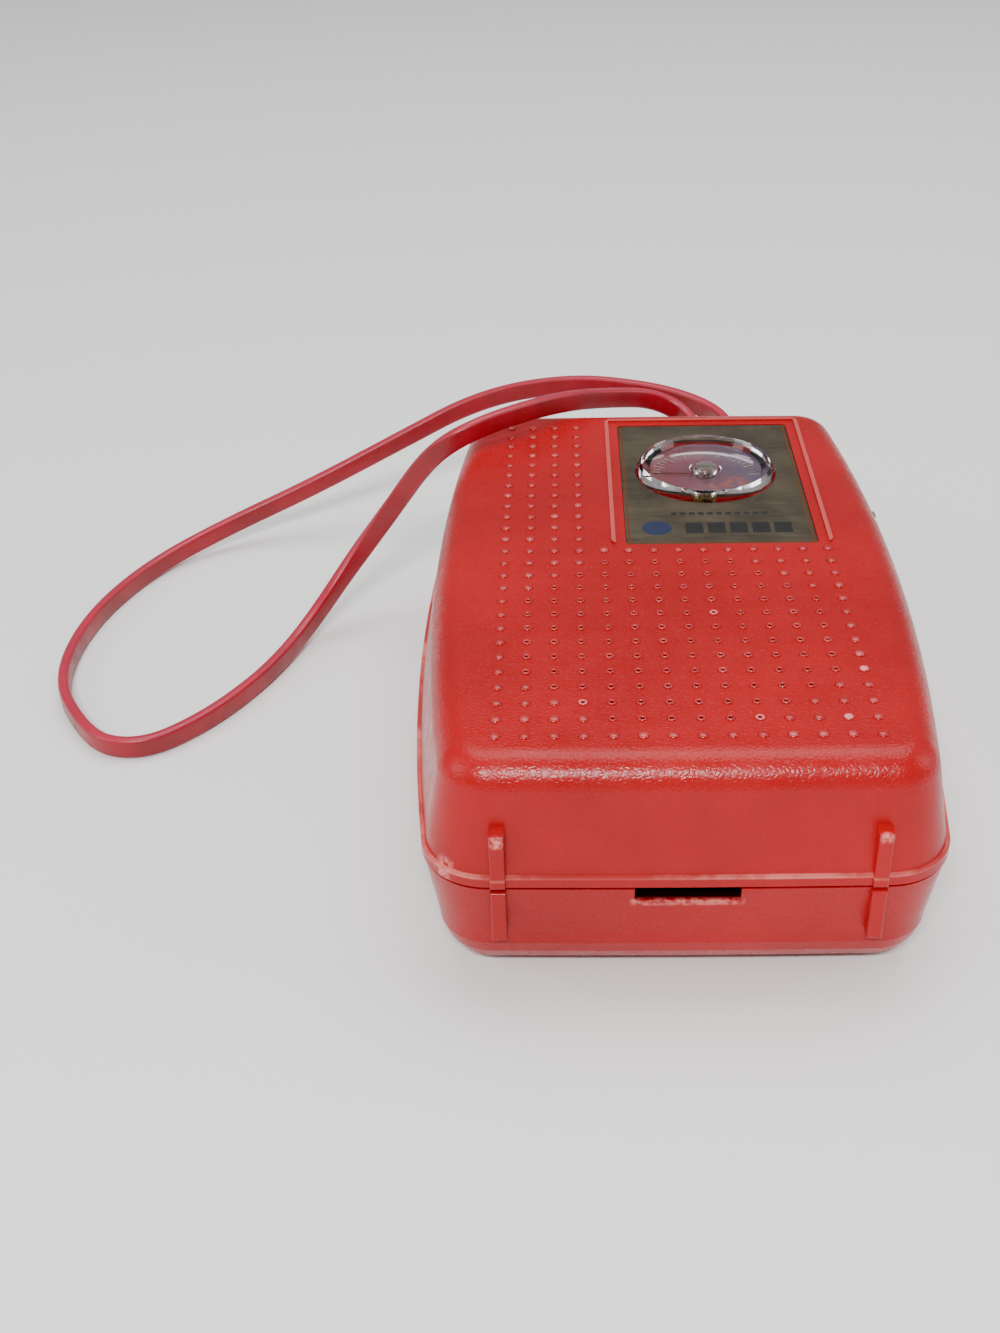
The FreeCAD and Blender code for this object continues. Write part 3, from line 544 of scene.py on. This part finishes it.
def grow(name, tree, ids, sizes):
    """Run a tree once on an empty object and return the plain mesh that it makes."""
    holder = bpy.data.objects.new(name, bpy.data.meshes.new(name))
    bpy.context.scene.collection.objects.link(holder)
    modifier = holder.modifiers.new("grow", "NODES")
    modifier.node_group = tree
    for label, value in sizes.items():
        modifier[ids[label]] = value
    graph = bpy.context.evaluated_depsgraph_get()
    mesh = bpy.data.meshes.new_from_object(holder.evaluated_get(graph), depsgraph=graph)
    holder.modifiers.clear()
    bpy.data.objects.remove(holder)
    mesh.name = name
    mesh.polygons.foreach_set("use_smooth", [True] * len(mesh.polygons))
    print(name, "faces", len(mesh.polygons))
    return mesh


# %% [markdown]
# ## The rows of dots
# The whole front is covered by a square grid of small raised dots. Those over the loudspeaker are
# pierced by a pin hole, so each is a low ring. The others are plain low domes. A grid of points with an
# instance on each is the natural way: one tree lays out the grid, drops the points that the plate
# covers, picks ring or dome by the distance to the loudspeaker, and sets them all on the face.

# %% Dot tree
DOT_PITCH = 3.4 * MM
DOT_COLUMNS, DOT_ROWS = 14, 26
DOT_FIRST_Y = -43.05 * MM
DOT_SIZES = {"Dot radius": 0.68 * MM, "Dot rise": 0.32 * MM, "Ring radius": 0.42 * MM,
             "Ring bead": 0.20 * MM}
SOUND_CENTRE = (0, -20.9 * MM, FACE_Z)
SOUND_RADIUS = 21.0 * MM
PLATE_MARGIN_X, PLATE_MARGIN_Y = 4.2 * MM, 0.6 * MM
CHIPPED_DOTS = ((3, 2), (12, 1), (9, 1), (8, 8), (13, 4))


def dot_place(column, row):
    """Centre of one dot of the grid, counted from the left and from the foot."""
    return ((column - (DOT_COLUMNS - 1) / 2) * DOT_PITCH, DOT_FIRST_Y + row * DOT_PITCH, FACE_Z)


def dot_shapes(tree):
    """The two things that stand on the grid: a pierced ring and a low dome."""
    size = tree.nodes.new("NodeGroupInput").outputs
    around = node(tree, "GeometryNodeCurvePrimitiveCircle", {0: 14, "Radius": size["Ring radius"]})
    bead = node(tree, "GeometryNodeCurvePrimitiveCircle", {0: 8, "Radius": size["Ring bead"]})
    ring = node(tree, "GeometryNodeCurveToMesh", {0: around, 1: bead})
    ring = node(tree, "GeometryNodeTransform", {0: ring, "Scale": (1, 1, 1.1)})
    ball = node(tree, "GeometryNodeMeshUVSphere", {"Segments": 12, "Rings": 8, "Radius": 1.0})
    low = node(tree, "ShaderNodeCombineXYZ", {0: size["Dot radius"], 1: size["Dot radius"],
                                              2: size["Dot rise"]})
    return ring, node(tree, "GeometryNodeTransform", {0: ball, "Scale": low})


def dot_tree(material):
    tree, ids = geometry_tree("rows_of_dots", DOT_SIZES)
    length = (DOT_ROWS - 1) * DOT_PITCH
    grid = node(tree, "GeometryNodeMeshGrid",
                {"Size X": (DOT_COLUMNS - 1) * DOT_PITCH, "Size Y": length,
                 "Vertices X": DOT_COLUMNS, "Vertices Y": DOT_ROWS})
    laid = node(tree, "GeometryNodeTransform",
                {0: grid, "Translation": (0, DOT_FIRST_Y + length / 2, FACE_Z)})
    where = node(tree, "GeometryNodeInputPosition")
    beside = node(tree, MATH, {0: axes_of(tree, where)[0], 1: plate_low.x - PLATE_MARGIN_X},
                  operation="GREATER_THAN")
    above = node(tree, MATH, {0: axes_of(tree, where)[1], 1: plate_low.y - PLATE_MARGIN_Y},
                 operation="GREATER_THAN")
    covered = node(tree, MATH, {0: beside, 1: above}, operation="MULTIPLY")
    free = node(tree, "GeometryNodeDeleteGeometry", {0: laid, "Selection": covered},
                domain="POINT")
    reach = node(tree, VECTOR, {0: where, 1: SOUND_CENTRE}, operation="DISTANCE")
    pierced = node(tree, MATH, {0: reach, 1: SOUND_RADIUS}, operation="LESS_THAN")
    whole = node(tree, MATH, {0: 1.0, 1: pierced}, operation="SUBTRACT")
    ring, dome = dot_shapes(tree)
    rings = node(tree, "GeometryNodeInstanceOnPoints",
                 {"Points": free, "Selection": pierced, "Instance": ring})
    domes = node(tree, "GeometryNodeInstanceOnPoints",
                 {"Points": free, "Selection": whole, "Instance": dome})
    both = node(tree, "GeometryNodeJoinGeometry", {0: rings})
    tree.links.new(domes, both.node.inputs[0])
    end_tree(tree, both, material)
    return tree, ids


# %% [markdown]
# The dots are the same red plastic, but they stand where a pocket rubs first. Their tops are scraped
# pale and dull, some far more than others, and five are chipped. So the finish mixes in a pinkish wear
# by height and by a cloud that is larger than one dot.

# %% Dot plastic
def dot_plastic():
    material, tree, place = start("rubbed_polystyrene_dots")
    height = axes_of(tree, place)[2]
    top = node(tree, RANGE, {0: height, 1: FACE_Z + 0.08 * MM, 2: FACE_Z + 0.26 * MM}, **SOFT)
    chips = spots(tree, place, [(dot_place(column, row), 1.4 * MM)
                                for column, row in CHIPPED_DOTS])
    some = node(tree, MATH, {0: chips, 1: patches(tree, place, 7.0, 0.46, 0.70, 0.03, 0.34)},
                operation="MAXIMUM")
    rubbed = node(tree, MATH, {0: top, 1: some}, operation="MULTIPLY")
    speck = patches(tree, place, 0.5, 0.35, 0.65, 0.6, 1.0)
    rubbed = node(tree, MATH, {0: rubbed, 1: speck}, operation="MULTIPLY")
    colour = node(tree, MIX, {0: rubbed, 6: linear("980006"), 7: linear("f07c80")}, **COLOUR)
    dull = node(tree, RANGE, {0: rubbed, 3: 0.24, 4: 0.45})
    bump = fine_grain(tree, place, 0.35, 0.03, 0.5)
    dress(tree, {"Base Color": colour, "Roughness": dull, "IOR": 1.50, "Normal": bump})
    return material


dot_finish = dot_plastic()
tree, ids = dot_tree(dot_finish)
add_piece("moulded_dots", grow("moulded_dots", tree, ids, DOT_SIZES), dot_finish, "radio")

# %% [markdown]
# ## The plate and its prints
# The plate is bronze-anodised aluminium with a fine brushed grain that runs across it, so its
# highlight is drawn out along Y. A gold-orange line runs just inside its left, lower and right edges.
# The marks on it are plain: a blue round badge, a row of dark blocks and a row of small dashes, with no
# words. Each print is a mask in millimetres, mixed over the metal, and the ink also
# turns the metal into a dull dielectric.

# %% Faceplate
BADGE = (-0.9 * MM, 7.8 * MM, plate_high.z)
BADGE_RADIUS = 2.1 * MM
GILT_EDGES_MM = (0.30, 0.60)
DASHES_MM = ((0.9, 15.2), (11.7, 12.6))
BLOCKS_MM = ((2.6, 18.2), (6.2, 9.4))


def stripes(tree, value, period_mm):
    """0 to 1 and back along a value, once in every period."""
    turned = node(tree, MATH, {0: value, 1: math.tau / (period_mm * MM)}, operation="MULTIPLY")
    wave = node(tree, MATH, {0: turned}, operation="SINE")
    return node(tree, MATH, {0: wave, 1: 0.5, 2: 0.5}, operation="MULTIPLY_ADD")


def block(tree, axes, x_span, y_span):
    """1 inside a rectangle on the plate, in millimetres."""
    wide = slab(tree, axes[0], x_span[0] * MM, x_span[1] * MM, 0.05 * MM)
    tall = slab(tree, axes[1], y_span[0] * MM, y_span[1] * MM, 0.05 * MM)
    return node(tree, MATH, {0: wide, 1: tall}, operation="MULTIPLY")


def broken(tree, axes, x_span, y_span, period_mm, filled):
    """A row of blocks: a rectangle cut into equal dashes."""
    whole = block(tree, axes, x_span, y_span)
    step = node(tree, MATH, {0: axes[0], 1: period_mm * MM}, operation="FLOORED_MODULO")
    dash = node(tree, MATH, {0: step, 1: filled * period_mm * MM}, operation="LESS_THAN")
    return node(tree, MATH, {0: whole, 1: dash}, operation="MULTIPLY")


def bronze_plate():
    material, tree, place = start("brushed_bronze_anodised_aluminium")
    axes = axes_of(tree, place)
    drawn = node(tree, VECTOR, {0: place, 1: (0.05, 1.0, 1.0)}, operation="MULTIPLY")
    brushed = node(tree, NOISE, {"Vector": drawn, "Scale": per_mm(0.25), "Detail": 3.0})
    tone = node(tree, MIX, {0: patches(tree, place, 8.0, 0.3, 0.7), 6: linear("51493c"),
                            7: linear("6b614f")}, **COLOUR)
    outer, inner = (block(tree, axes, (plate_low.x / MM + inset, plate_high.x / MM - inset),
                          (plate_low.y / MM + inset, plate_high.y / MM + 5))
                    for inset in GILT_EDGES_MM)
    line = node(tree, MATH, {0: outer, 1: inner}, operation="SUBTRACT", use_clamp=True)
    gilt = node(tree, MIX, {0: line, 6: tone, 7: linear("7e4c22")}, **COLOUR)
    dashes = broken(tree, axes, *DASHES_MM, 1.3, 0.62)
    pale = node(tree, MIX, {0: dashes, 6: gilt, 7: linear("0c0a0a")}, **COLOUR)
    bars = broken(tree, axes, *BLOCKS_MM, 3.12, 0.80)
    dark = node(tree, MIX, {0: bars, 6: pale, 7: linear("060506")}, **COLOUR)
    away = node(tree, VECTOR, {0: place, 1: BADGE}, operation="DISTANCE")
    badge = node(tree, MATH, {0: away, 1: BADGE_RADIUS}, operation="LESS_THAN")
    shown = node(tree, MIX, {0: badge, 6: dark, 7: linear("0a1a3c")}, **COLOUR)
    ink = node(tree, MATH, {0: badge, 1: bars}, operation="MAXIMUM")
    ink = node(tree, MATH, {0: ink, 1: dashes}, operation="MAXIMUM")
    metal = node(tree, RANGE, {0: ink, 3: 0.85, 4: 0.0})
    gloss = node(tree, RANGE, {0: brushed, 1: 0.3, 2: 0.7, 3: 0.30, 4: 0.46})
    bump = node(tree, BUMP, {"Strength": 0.5, "Distance": 0.02 * MM, "Height": brushed})
    dress(tree, {"Base Color": shown, "Metallic": metal, "Roughness": gloss, "Normal": bump})
    return material


give(bronze_plate(), "faceplate")
print("plate, mm", [round(v / MM, 1) for v in plate_low], [round(v / MM, 1) for v in plate_high])

# %% [markdown]
# ## The tuning dial
# Under the clear disc lies a printed card. Its ground runs from burgundy on the left to a greyed purple
# on the right, with an orange-brown smudge low on the right. The scale is a set of short strokes round
# the upper half: a tree puts one small block on each point of a circle, turns it to face the centre by
# its own angle, and makes every third one longer.

# %% Dial card and scale
DIAL_X, DIAL_Y, CARD_Z = 7.3 * MM, 26.0 * MM, 29.7 * MM
TICK_SIZES = {"Circle radius": 7.4 * MM, "Stroke length": 1.1 * MM, "Stroke width": 0.24 * MM,
              "Stroke height": 0.06 * MM}
TICK_POINTS = 48


def dial_card():
    material, tree, place = start("offset_printed_varnished_card")
    across = axes_of(tree, place)[0]
    fade = node(tree, RANGE, {0: across, 1: DIAL_X - 8 * MM, 2: DIAL_X + 8 * MM}, **SOFT)
    ground = node(tree, MIX, {0: fade, 6: linear("86082a"), 7: linear("563e62")}, **COLOUR)
    rust = spots(tree, place, [((11.5 * MM, 22.9 * MM, CARD_Z), 3.2 * MM),
                               ((8.6 * MM, 21.4 * MM, CARD_Z), 2.4 * MM)])
    torn = patches(tree, place, 1.1, 0.40, 0.60)
    rust = node(tree, MATH, {0: rust, 1: torn}, operation="MULTIPLY")
    marked = node(tree, MIX, {0: rust, 6: ground, 7: linear("b4542c")}, **COLOUR)
    bump = fine_grain(tree, place, 0.3, 0.02, 0.3)
    dress(tree, {"Base Color": marked, "IOR": 1.50, "Normal": bump,
                 "Roughness": patches(tree, place, 2.0, 0.3, 0.7, 0.35, 0.55)})
    return material


def tick_tree(material):
    tree, ids = geometry_tree("dial_strokes", TICK_SIZES)
    size = tree.nodes.new("NodeGroupInput").outputs
    circle = node(tree, "GeometryNodeMeshCircle",
                  {"Vertices": TICK_POINTS, "Radius": size["Circle radius"]})
    where = node(tree, "GeometryNodeInputPosition")
    x, y = axes_of(tree, where)[:2]
    below = node(tree, MATH, {0: y, 1: -0.1 * MM}, operation="LESS_THAN")
    arc = node(tree, "GeometryNodeDeleteGeometry", {0: circle, "Selection": below},
               domain="POINT")
    facing = node(tree, MATH, {0: y, 1: x}, operation="ARCTAN2")
    turn = node(tree, "ShaderNodeCombineXYZ", {2: facing})
    third = node(tree, MATH, {0: node(tree, "GeometryNodeInputIndex"), 1: 3.0},
                 operation="FLOORED_MODULO")
    longer = node(tree, RANGE, {0: third, 1: 0.0, 2: 0.5, 3: 1.6, 4: 1.0})
    stretch = node(tree, "ShaderNodeCombineXYZ", {0: longer, 1: 1.0, 2: 1.0})
    stroke_size = node(tree, "ShaderNodeCombineXYZ", {0: size["Stroke length"],
                                                      1: size["Stroke width"],
                                                      2: size["Stroke height"]})
    stroke = node(tree, "GeometryNodeMeshCube", {"Size": stroke_size})
    strokes = node(tree, "GeometryNodeInstanceOnPoints",
                   {"Points": arc, "Instance": stroke, "Rotation": turn, "Scale": stretch})
    laid = node(tree, "GeometryNodeTransform",
                {0: strokes, "Translation": (DIAL_X, DIAL_Y, CARD_Z + 0.02 * MM)})
    end_tree(tree, laid, material)
    return tree, ids


give(dial_card(), "dial_card")
ink = plain_finish("screen_printed_cream_ink", "8c8474", "a89e8c", 0.55, 2.0, 0.2, 0.01)
tree, ids = tick_tree(ink)
add_piece("dial_scale", grow("dial_scale", tree, ids, TICK_SIZES), ink, "radio")

# %% [markdown]
# The disc is cast acrylic, polished on the rim. It is clear with IOR 1.49, and its only colour is the
# card seen through it. Handling leaves hairline scratches on the face, which a stretched noise draws in
# the roughness and in a very shallow bump. The pointer is a strip of opaque red enamel under it.

# %% Clear disc and pointer
def clear_acrylic():
    material, tree, place = start("cast_acrylic_polished_clear")
    drawn = node(tree, VECTOR, {0: place, 1: (0.15, 1.0, 1.0)}, operation="MULTIPLY")
    hair = node(tree, NOISE, {"Vector": drawn, "Scale": per_mm(0.4), "Detail": 4.0})
    haze = node(tree, RANGE, {0: hair, 1: 0.55, 2: 0.75, 3: 0.03, 4: 0.10}, **SOFT)
    tint = node(tree, MIX, {0: patches(tree, place, 6.0, 0.3, 0.7), 6: linear("fdf4f4"),
                            7: linear("ffffff")}, **COLOUR)
    bump = node(tree, BUMP, {"Strength": 0.15, "Distance": 0.01 * MM, "Height": hair})
    dress(tree, {"Base Color": tint, "Roughness": haze, "IOR": 1.49,
                 "Transmission Weight": 1.0, "Normal": bump})
    return material


give(clear_acrylic(), "tuning_knob")
give(plain_finish("brushed_on_enamel_red", "b00410", "d80c18", 0.30, 2.0, 0.3, 0.02, IOR=1.50),
     "knob_pointer")

# %% [markdown]
# ## Metal parts
# Bare metals keep the default index and differ in tint, in how even their polish is, and in grain:
# nickel plate is bright and slightly warm, zinc plate is bluish and blotched, tinned cans are softly
# grey, drawn brass is yellow, and enamelled copper wire has a deep orange varnish.

# %% Metals
give(plain_finish("nickel_plated_steel", "a8a59c", "c8c4ba", 0.22, 3.0, 0.2, 0.01, Metallic=1.0),
     "hub_screw", "volume_shaft", "speaker_screws", "board_screws", "battery_terminals",
     "jack_nut", "strap_anchor")
give(plain_finish("turned_brass", "9c7a38", "b8934a", 0.28, 2.0, 0.2, 0.01, Metallic=1.0),
     "tuning_shaft")
give(plain_finish("zinc_plated_pressed_steel", "8a9096", "b0b6b8", 0.35, 4.0, 0.3, 0.02,
                  Metallic=1.0),
     "speaker_basket", "speaker_top_plate", "speaker_yoke", "speaker_clips")
give(plain_finish("tinned_drawn_cans", "9a9a98", "b8b8b4", 0.32, 3.0, 0.25, 0.02, Metallic=1.0),
     "coil_can_1", "coil_can_2", "coil_can_3", "coil_can_4", "transistors")
give(plain_finish("enamelled_copper_wire", "8a3d16", "b45a26", 0.30, 2.0, 0.1, 0.01, Metallic=1.0),
     "voice_coil")
print("metals given")

# %% [markdown]
# ## Plastics, paper and ceramics
# Inside, the parts are ordinary stock of their time. Each is a plain finish with its own two colours,
# gloss and grain: a milky tuning gang, black phenolic mouldings, a sintered ferrite rod and magnet, a
# felted paper cone, sleeved capacitors, lacquered resistors and dipped ceramics.

# %% Plain internal finishes
give(plain_finish("moulded_milky_polystyrene", "cfc8b4", "e2dccb", 0.35, 6.0, 0.4, 0.02, IOR=1.55),
     "tuning_capacitor", "rod_clip_left", "rod_clip_right")
give(plain_finish("moulded_black_phenolic", "0e0d0d", "1d1b1a", 0.38, 4.0, 0.3, 0.03, IOR=1.55),
     "volume_pot", "volume_wheel", "battery_snap", "earphone_jack")
give(plain_finish("sintered_ferrite", "1d1c1f", "2c2a2d", 0.60, 3.0, 0.2, 0.04, IOR=2.0),
     "speaker_magnet", "ferrite_rod")
give(plain_finish("felted_paper", "2a2622", "3a352f", 0.85, 4.0, 0.25, 0.06),
     "speaker_cone", "dust_cap", "speaker_gasket")
give(plain_finish("heat_shrunk_sleeve_blue", "1d3350", "2a4668", 0.40, 4.0, 0.5, 0.02, IOR=1.50),
     "electrolytic_1", "electrolytic_2", "electrolytic_3")
give(plain_finish("lacquered_carbon_resistor", "7d5a3a", "a07850", 0.42, 1.2, 0.2, 0.02, IOR=1.50),
     "resistors")
give(plain_finish("dipped_ceramic", "a4622a", "bd7a3c", 0.45, 1.5, 0.2, 0.02, IOR=1.55),
     "ceramic_capacitors", "detector_diode")
give(plain_finish("pressboard_sheet", "6e5a40", "83704f", 0.80, 3.0, 0.2, 0.05),
     "battery_divider")
give(plain_finish("stranded_wire_pvc", "141416", "24242a", 0.42, 3.0, 0.4, 0.02, IOR=1.50),
     "battery_leads", "speaker_leads", "antenna_leads")
print("plain finishes given")

# %% [markdown]
# Three finishes need a pattern of their own. The phenolic board shows tinned copper tracks under a
# brown varnish. The transformers are stacks of thin laminations, edge on. The battery has a printed
# steel jacket with a coloured band. Each pattern is laid out in real millimetres.

# %% Board, transformers and battery
def banded(name, dark, light, axis, low_mm, high_mm, roughness, metallic):
    """A printed band between two limits, over a worn ground."""
    material, tree, place = start(name)
    height = axes_of(tree, place)[axis]
    band = slab(tree, height, low_mm * MM, high_mm * MM, 0.1 * MM)
    colour = node(tree, MIX, {0: band, 6: linear(dark), 7: linear(light)}, **COLOUR)
    rub = patches(tree, place, 3.0, 0.60, 0.80, 0.0, 0.5)
    worn = node(tree, MIX, {0: rub, 6: colour, 7: linear("8c8880")}, **COLOUR)
    bump = fine_grain(tree, place, 0.4, 0.02, 0.3)
    dress(tree, {"Base Color": worn, "Metallic": metallic, "Normal": bump,
                 "Roughness": patches(tree, place, 3.0, 0.3, 0.7, roughness, roughness + 0.15)})
    return material


BOARD_FOOT_Z = 14.0 * MM


def phenolic_board():
    material, tree, place = start("paper_phenolic_with_tinned_tracks")
    height = axes_of(tree, place)[2]
    below = node(tree, RANGE, {0: height, 1: BOARD_FOOT_Z + 0.05 * MM,
                               2: BOARD_FOOT_Z + 0.15 * MM, 3: 1.0, 4: 0.0})
    cells = node(tree, CELLS, {"Vector": place, "Scale": per_mm(4.0)}, feature="DISTANCE_TO_EDGE")
    track = node(tree, RANGE, {0: cells, 1: 0.10, 2: 0.16}, **SOFT)
    copper = node(tree, MATH, {0: track, 1: below}, operation="MULTIPLY")
    base = node(tree, MIX, {0: patches(tree, place, 5.0, 0.3, 0.7), 6: linear("6a4620"),
                            7: linear("835a2c")}, **COLOUR)
    colour = node(tree, MIX, {0: copper, 6: base, 7: linear("b0a898")}, **COLOUR)
    bump = fine_grain(tree, place, 0.3, 0.02, 0.3)
    dress(tree, {"Base Color": colour, "Metallic": copper, "Normal": bump,
                 "Roughness": patches(tree, place, 2.0, 0.3, 0.7, 0.35, 0.5)})
    return material


def laminated_iron():
    material, tree, place = start("stacked_silicon_steel_laminations")
    height = axes_of(tree, place)[2]
    sheets = stripes(tree, height, 0.5)
    colour = node(tree, MIX, {0: sheets, 6: linear("2b2b2d"), 7: linear("6a6a6c")}, **COLOUR)
    bump = node(tree, BUMP, {"Strength": 0.6, "Distance": 0.05 * MM, "Height": sheets})
    dress(tree, {"Base Color": colour, "Metallic": 0.8, "Normal": bump,
                 "Roughness": patches(tree, place, 2.0, 0.3, 0.7, 0.40, 0.6)})
    return material


give(phenolic_board(), "circuit_board")
give(laminated_iron(), "driver_transformer", "output_transformer")
give(banded("lithographed_steel_battery_jacket", "1f2226", "b08a2c", 1, 28.0, 36.0, 0.30, 0.6),
     "battery")
print("patterned finishes given")

# %% [markdown]
# ## The aerial coil
# The plain sleeve on the ferrite rod stands for a coil of enamelled wire. A spiral curve with a small
# round section gives the real turns, side by side, with their ends closed. It is grown by a tree, so the
# number of turns and the wire's size stay open to change.

# %% Aerial coil
coil_low, coil_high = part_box("antenna_coil")
WIRE_RADIUS = 0.24 * MM
COIL_SIZES = {"Turns": 23.0, "Coil radius": (coil_high.z - coil_low.z) / 2 - WIRE_RADIUS - 0.02 * MM,
              "Wire radius": WIRE_RADIUS,
              "Coil length": coil_high.x - coil_low.x - 2.2 * WIRE_RADIUS}


def coil_tree(material):
    tree, ids = geometry_tree("wound_coil", COIL_SIZES)
    size = tree.nodes.new("NodeGroupInput").outputs
    spiral = node(tree, "GeometryNodeCurveSpiral",
                  {"Resolution": 20, "Rotations": size["Turns"],
                   "Start Radius": size["Coil radius"], "End Radius": size["Coil radius"],
                   "Height": size["Coil length"]})
    wire = node(tree, "GeometryNodeCurvePrimitiveCircle", {0: 6, "Radius": size["Wire radius"]})
    wound = node(tree, "GeometryNodeCurveToMesh", {0: spiral, 1: wire, "Fill Caps": True})
    middle = (coil_low + coil_high) / 2
    laid = node(tree, "GeometryNodeTransform",
                {0: wound, "Rotation": (0, math.pi / 2, 0),
                 "Translation": (coil_low.x + 1.1 * WIRE_RADIUS, middle.y, middle.z)})
    end_tree(tree, laid, material)
    return tree, ids


wire_finish = plain_finish("enamelled_winding_wire", "8a3d16", "b45a26", 0.30, 2.0, 0.1, 0.005,
                           Metallic=1.0)
tree, ids = coil_tree(wire_finish)
add_piece("antenna_winding", grow("antenna_winding", tree, ids, COIL_SIZES), wire_finish, "radio",
          ["antenna_coil"])

# %% [markdown]
# ## Soft parts inside
# The grille cloth is a black cotton disc, stretched behind the sound holes. It is one thin closed disc
# of rings, dished by a few hundredths of a millimetre, with a plain weave drawn by two crossed waves.
# The foam pad that steadies the battery is a block of open-cell foam, crowned in the middle, with sides
# that pull in. Its cells are a Voronoi bump.

# %% Grille cloth and foam pad
cloth_low, cloth_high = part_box("grille_cloth")
pad_low, pad_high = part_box("foam_pad")
CLOTH_RINGS, CLOTH_SPOKES = 16, 72
CLOTH_HALF_THICK, CLOTH_DISH = 0.10 * MM, 0.03 * MM
PAD_CUTS = 11
PAD_CROWN = 0.30
PAD_PULL_X, PAD_PULL_Y, PAD_ROUND_X, PAD_ROUND_Y = 0.05, 0.05, 0.04, 0.06


def cloth_mesh():
    """A closed thin disc: rings on its upper side, rings on its lower side, joined at the rim."""
    middle = (cloth_low + cloth_high) / 2
    radius = (cloth_high.x - cloth_low.x) / 2
    form = bmesh.new()
    sides = []
    for side in (1, -1):
        rings = [[form.verts.new((middle.x, middle.y, middle.z + side * CLOTH_HALF_THICK))]]
        for step in range(1, CLOTH_RINGS + 1):
            share = step / CLOTH_RINGS
            lift = middle.z + side * CLOTH_HALF_THICK - CLOTH_DISH * (1 - share * share)
            rings.append([form.verts.new((middle.x + radius * share * math.cos(a),
                                          middle.y + radius * share * math.sin(a), lift))
                          for a in (math.tau * k / CLOTH_SPOKES for k in range(CLOTH_SPOKES))])
        for k in range(CLOTH_SPOKES):
            after = (k + 1) % CLOTH_SPOKES
            form.faces.new((rings[0][0], rings[1][k], rings[1][after]))
            for near, far in zip(rings[1:], rings[2:]):
                form.faces.new((near[k], far[k], far[after], near[after]))
        sides.append(rings[-1])
    for k in range(CLOTH_SPOKES):
        after = (k + 1) % CLOTH_SPOKES
        form.faces.new((sides[0][k], sides[1][k], sides[1][after], sides[0][after]))
    bmesh.ops.recalc_face_normals(form, faces=form.faces)
    mesh = bpy.data.meshes.new("speaker_grille_cloth")
    form.to_mesh(mesh)
    form.free()
    return mesh


def pad_mesh():
    """A foam block: sides pulled in between its corners, top and bottom crowned."""
    middle, half = (pad_low + pad_high) / 2, (pad_high - pad_low) / 2
    form = bmesh.new()
    bmesh.ops.create_cube(form, size=2.0)
    bmesh.ops.subdivide_edges(form, edges=form.edges[:], cuts=PAD_CUTS, use_grid_fill=True)
    for vert in form.verts:
        u, v, w = vert.co
        wide = 1 - PAD_PULL_X * (1 - v * v) - PAD_ROUND_X * w * w
        long = 1 - PAD_PULL_Y * (1 - u * u) * abs(v) ** 3 - PAD_ROUND_Y * w * w
        crown = (1 - PAD_CROWN * abs(u) ** 5) * (1 - PAD_CROWN * abs(v) ** 5)
        vert.co = (middle.x + half.x * u * wide, middle.y + half.y * v * long,
                   middle.z + half.z * w * crown)
    mesh = bpy.data.meshes.new("battery_foam_pad")
    form.to_mesh(mesh)
    form.free()
    mesh.polygons.foreach_set("use_smooth", [True] * len(mesh.polygons))
    return mesh


def woven_cotton():
    material, tree, place = start("plain_woven_black_cotton")
    across = stripes(tree, axes_of(tree, place)[0], 0.7)
    along = stripes(tree, axes_of(tree, place)[1], 0.7)
    weave = node(tree, MATH, {0: across, 1: along}, operation="MULTIPLY")
    colour = node(tree, MIX, {0: weave, 6: linear("070707"), 7: linear("201e1e")}, **COLOUR)
    bump = node(tree, BUMP, {"Strength": 0.7, "Distance": 0.08 * MM, "Height": weave})
    dress(tree, {"Base Color": colour, "Sheen Weight": 0.2, "Normal": bump,
                 "Roughness": patches(tree, place, 2.0, 0.3, 0.7, 0.85, 0.95)})
    return material


def open_foam():
    material, tree, place = start("open_cell_polyurethane_foam_grey")
    cells = node(tree, CELLS, {"Vector": place, "Scale": per_mm(0.7)})
    tone = node(tree, MIX, {0: patches(tree, place, 5.0, 0.3, 0.7), 6: linear("4c4c4e"),
                            7: linear("66645f")}, **COLOUR)
    colour = node(tree, MIX, {0: cells, 6: tone, 7: linear("2c2c2e")}, **COLOUR)
    bump = node(tree, BUMP, {"Strength": 0.8, "Distance": 0.2 * MM, "Height": cells})
    dress(tree, {"Base Color": colour, "Normal": bump,
                 "Roughness": patches(tree, place, 2.0, 0.3, 0.7, 0.85, 0.98)})
    return material


cloth = add_piece("speaker_grille_cloth", cloth_mesh(), woven_cotton(), "radio",
                  ["grille_cloth"])
pad = add_piece("battery_foam_pad", pad_mesh(), open_foam(), "back_cover",
                ["foam_pad"])
print("cloth faces", len(cloth.data.polygons), "pad faces", len(pad.data.polygons))
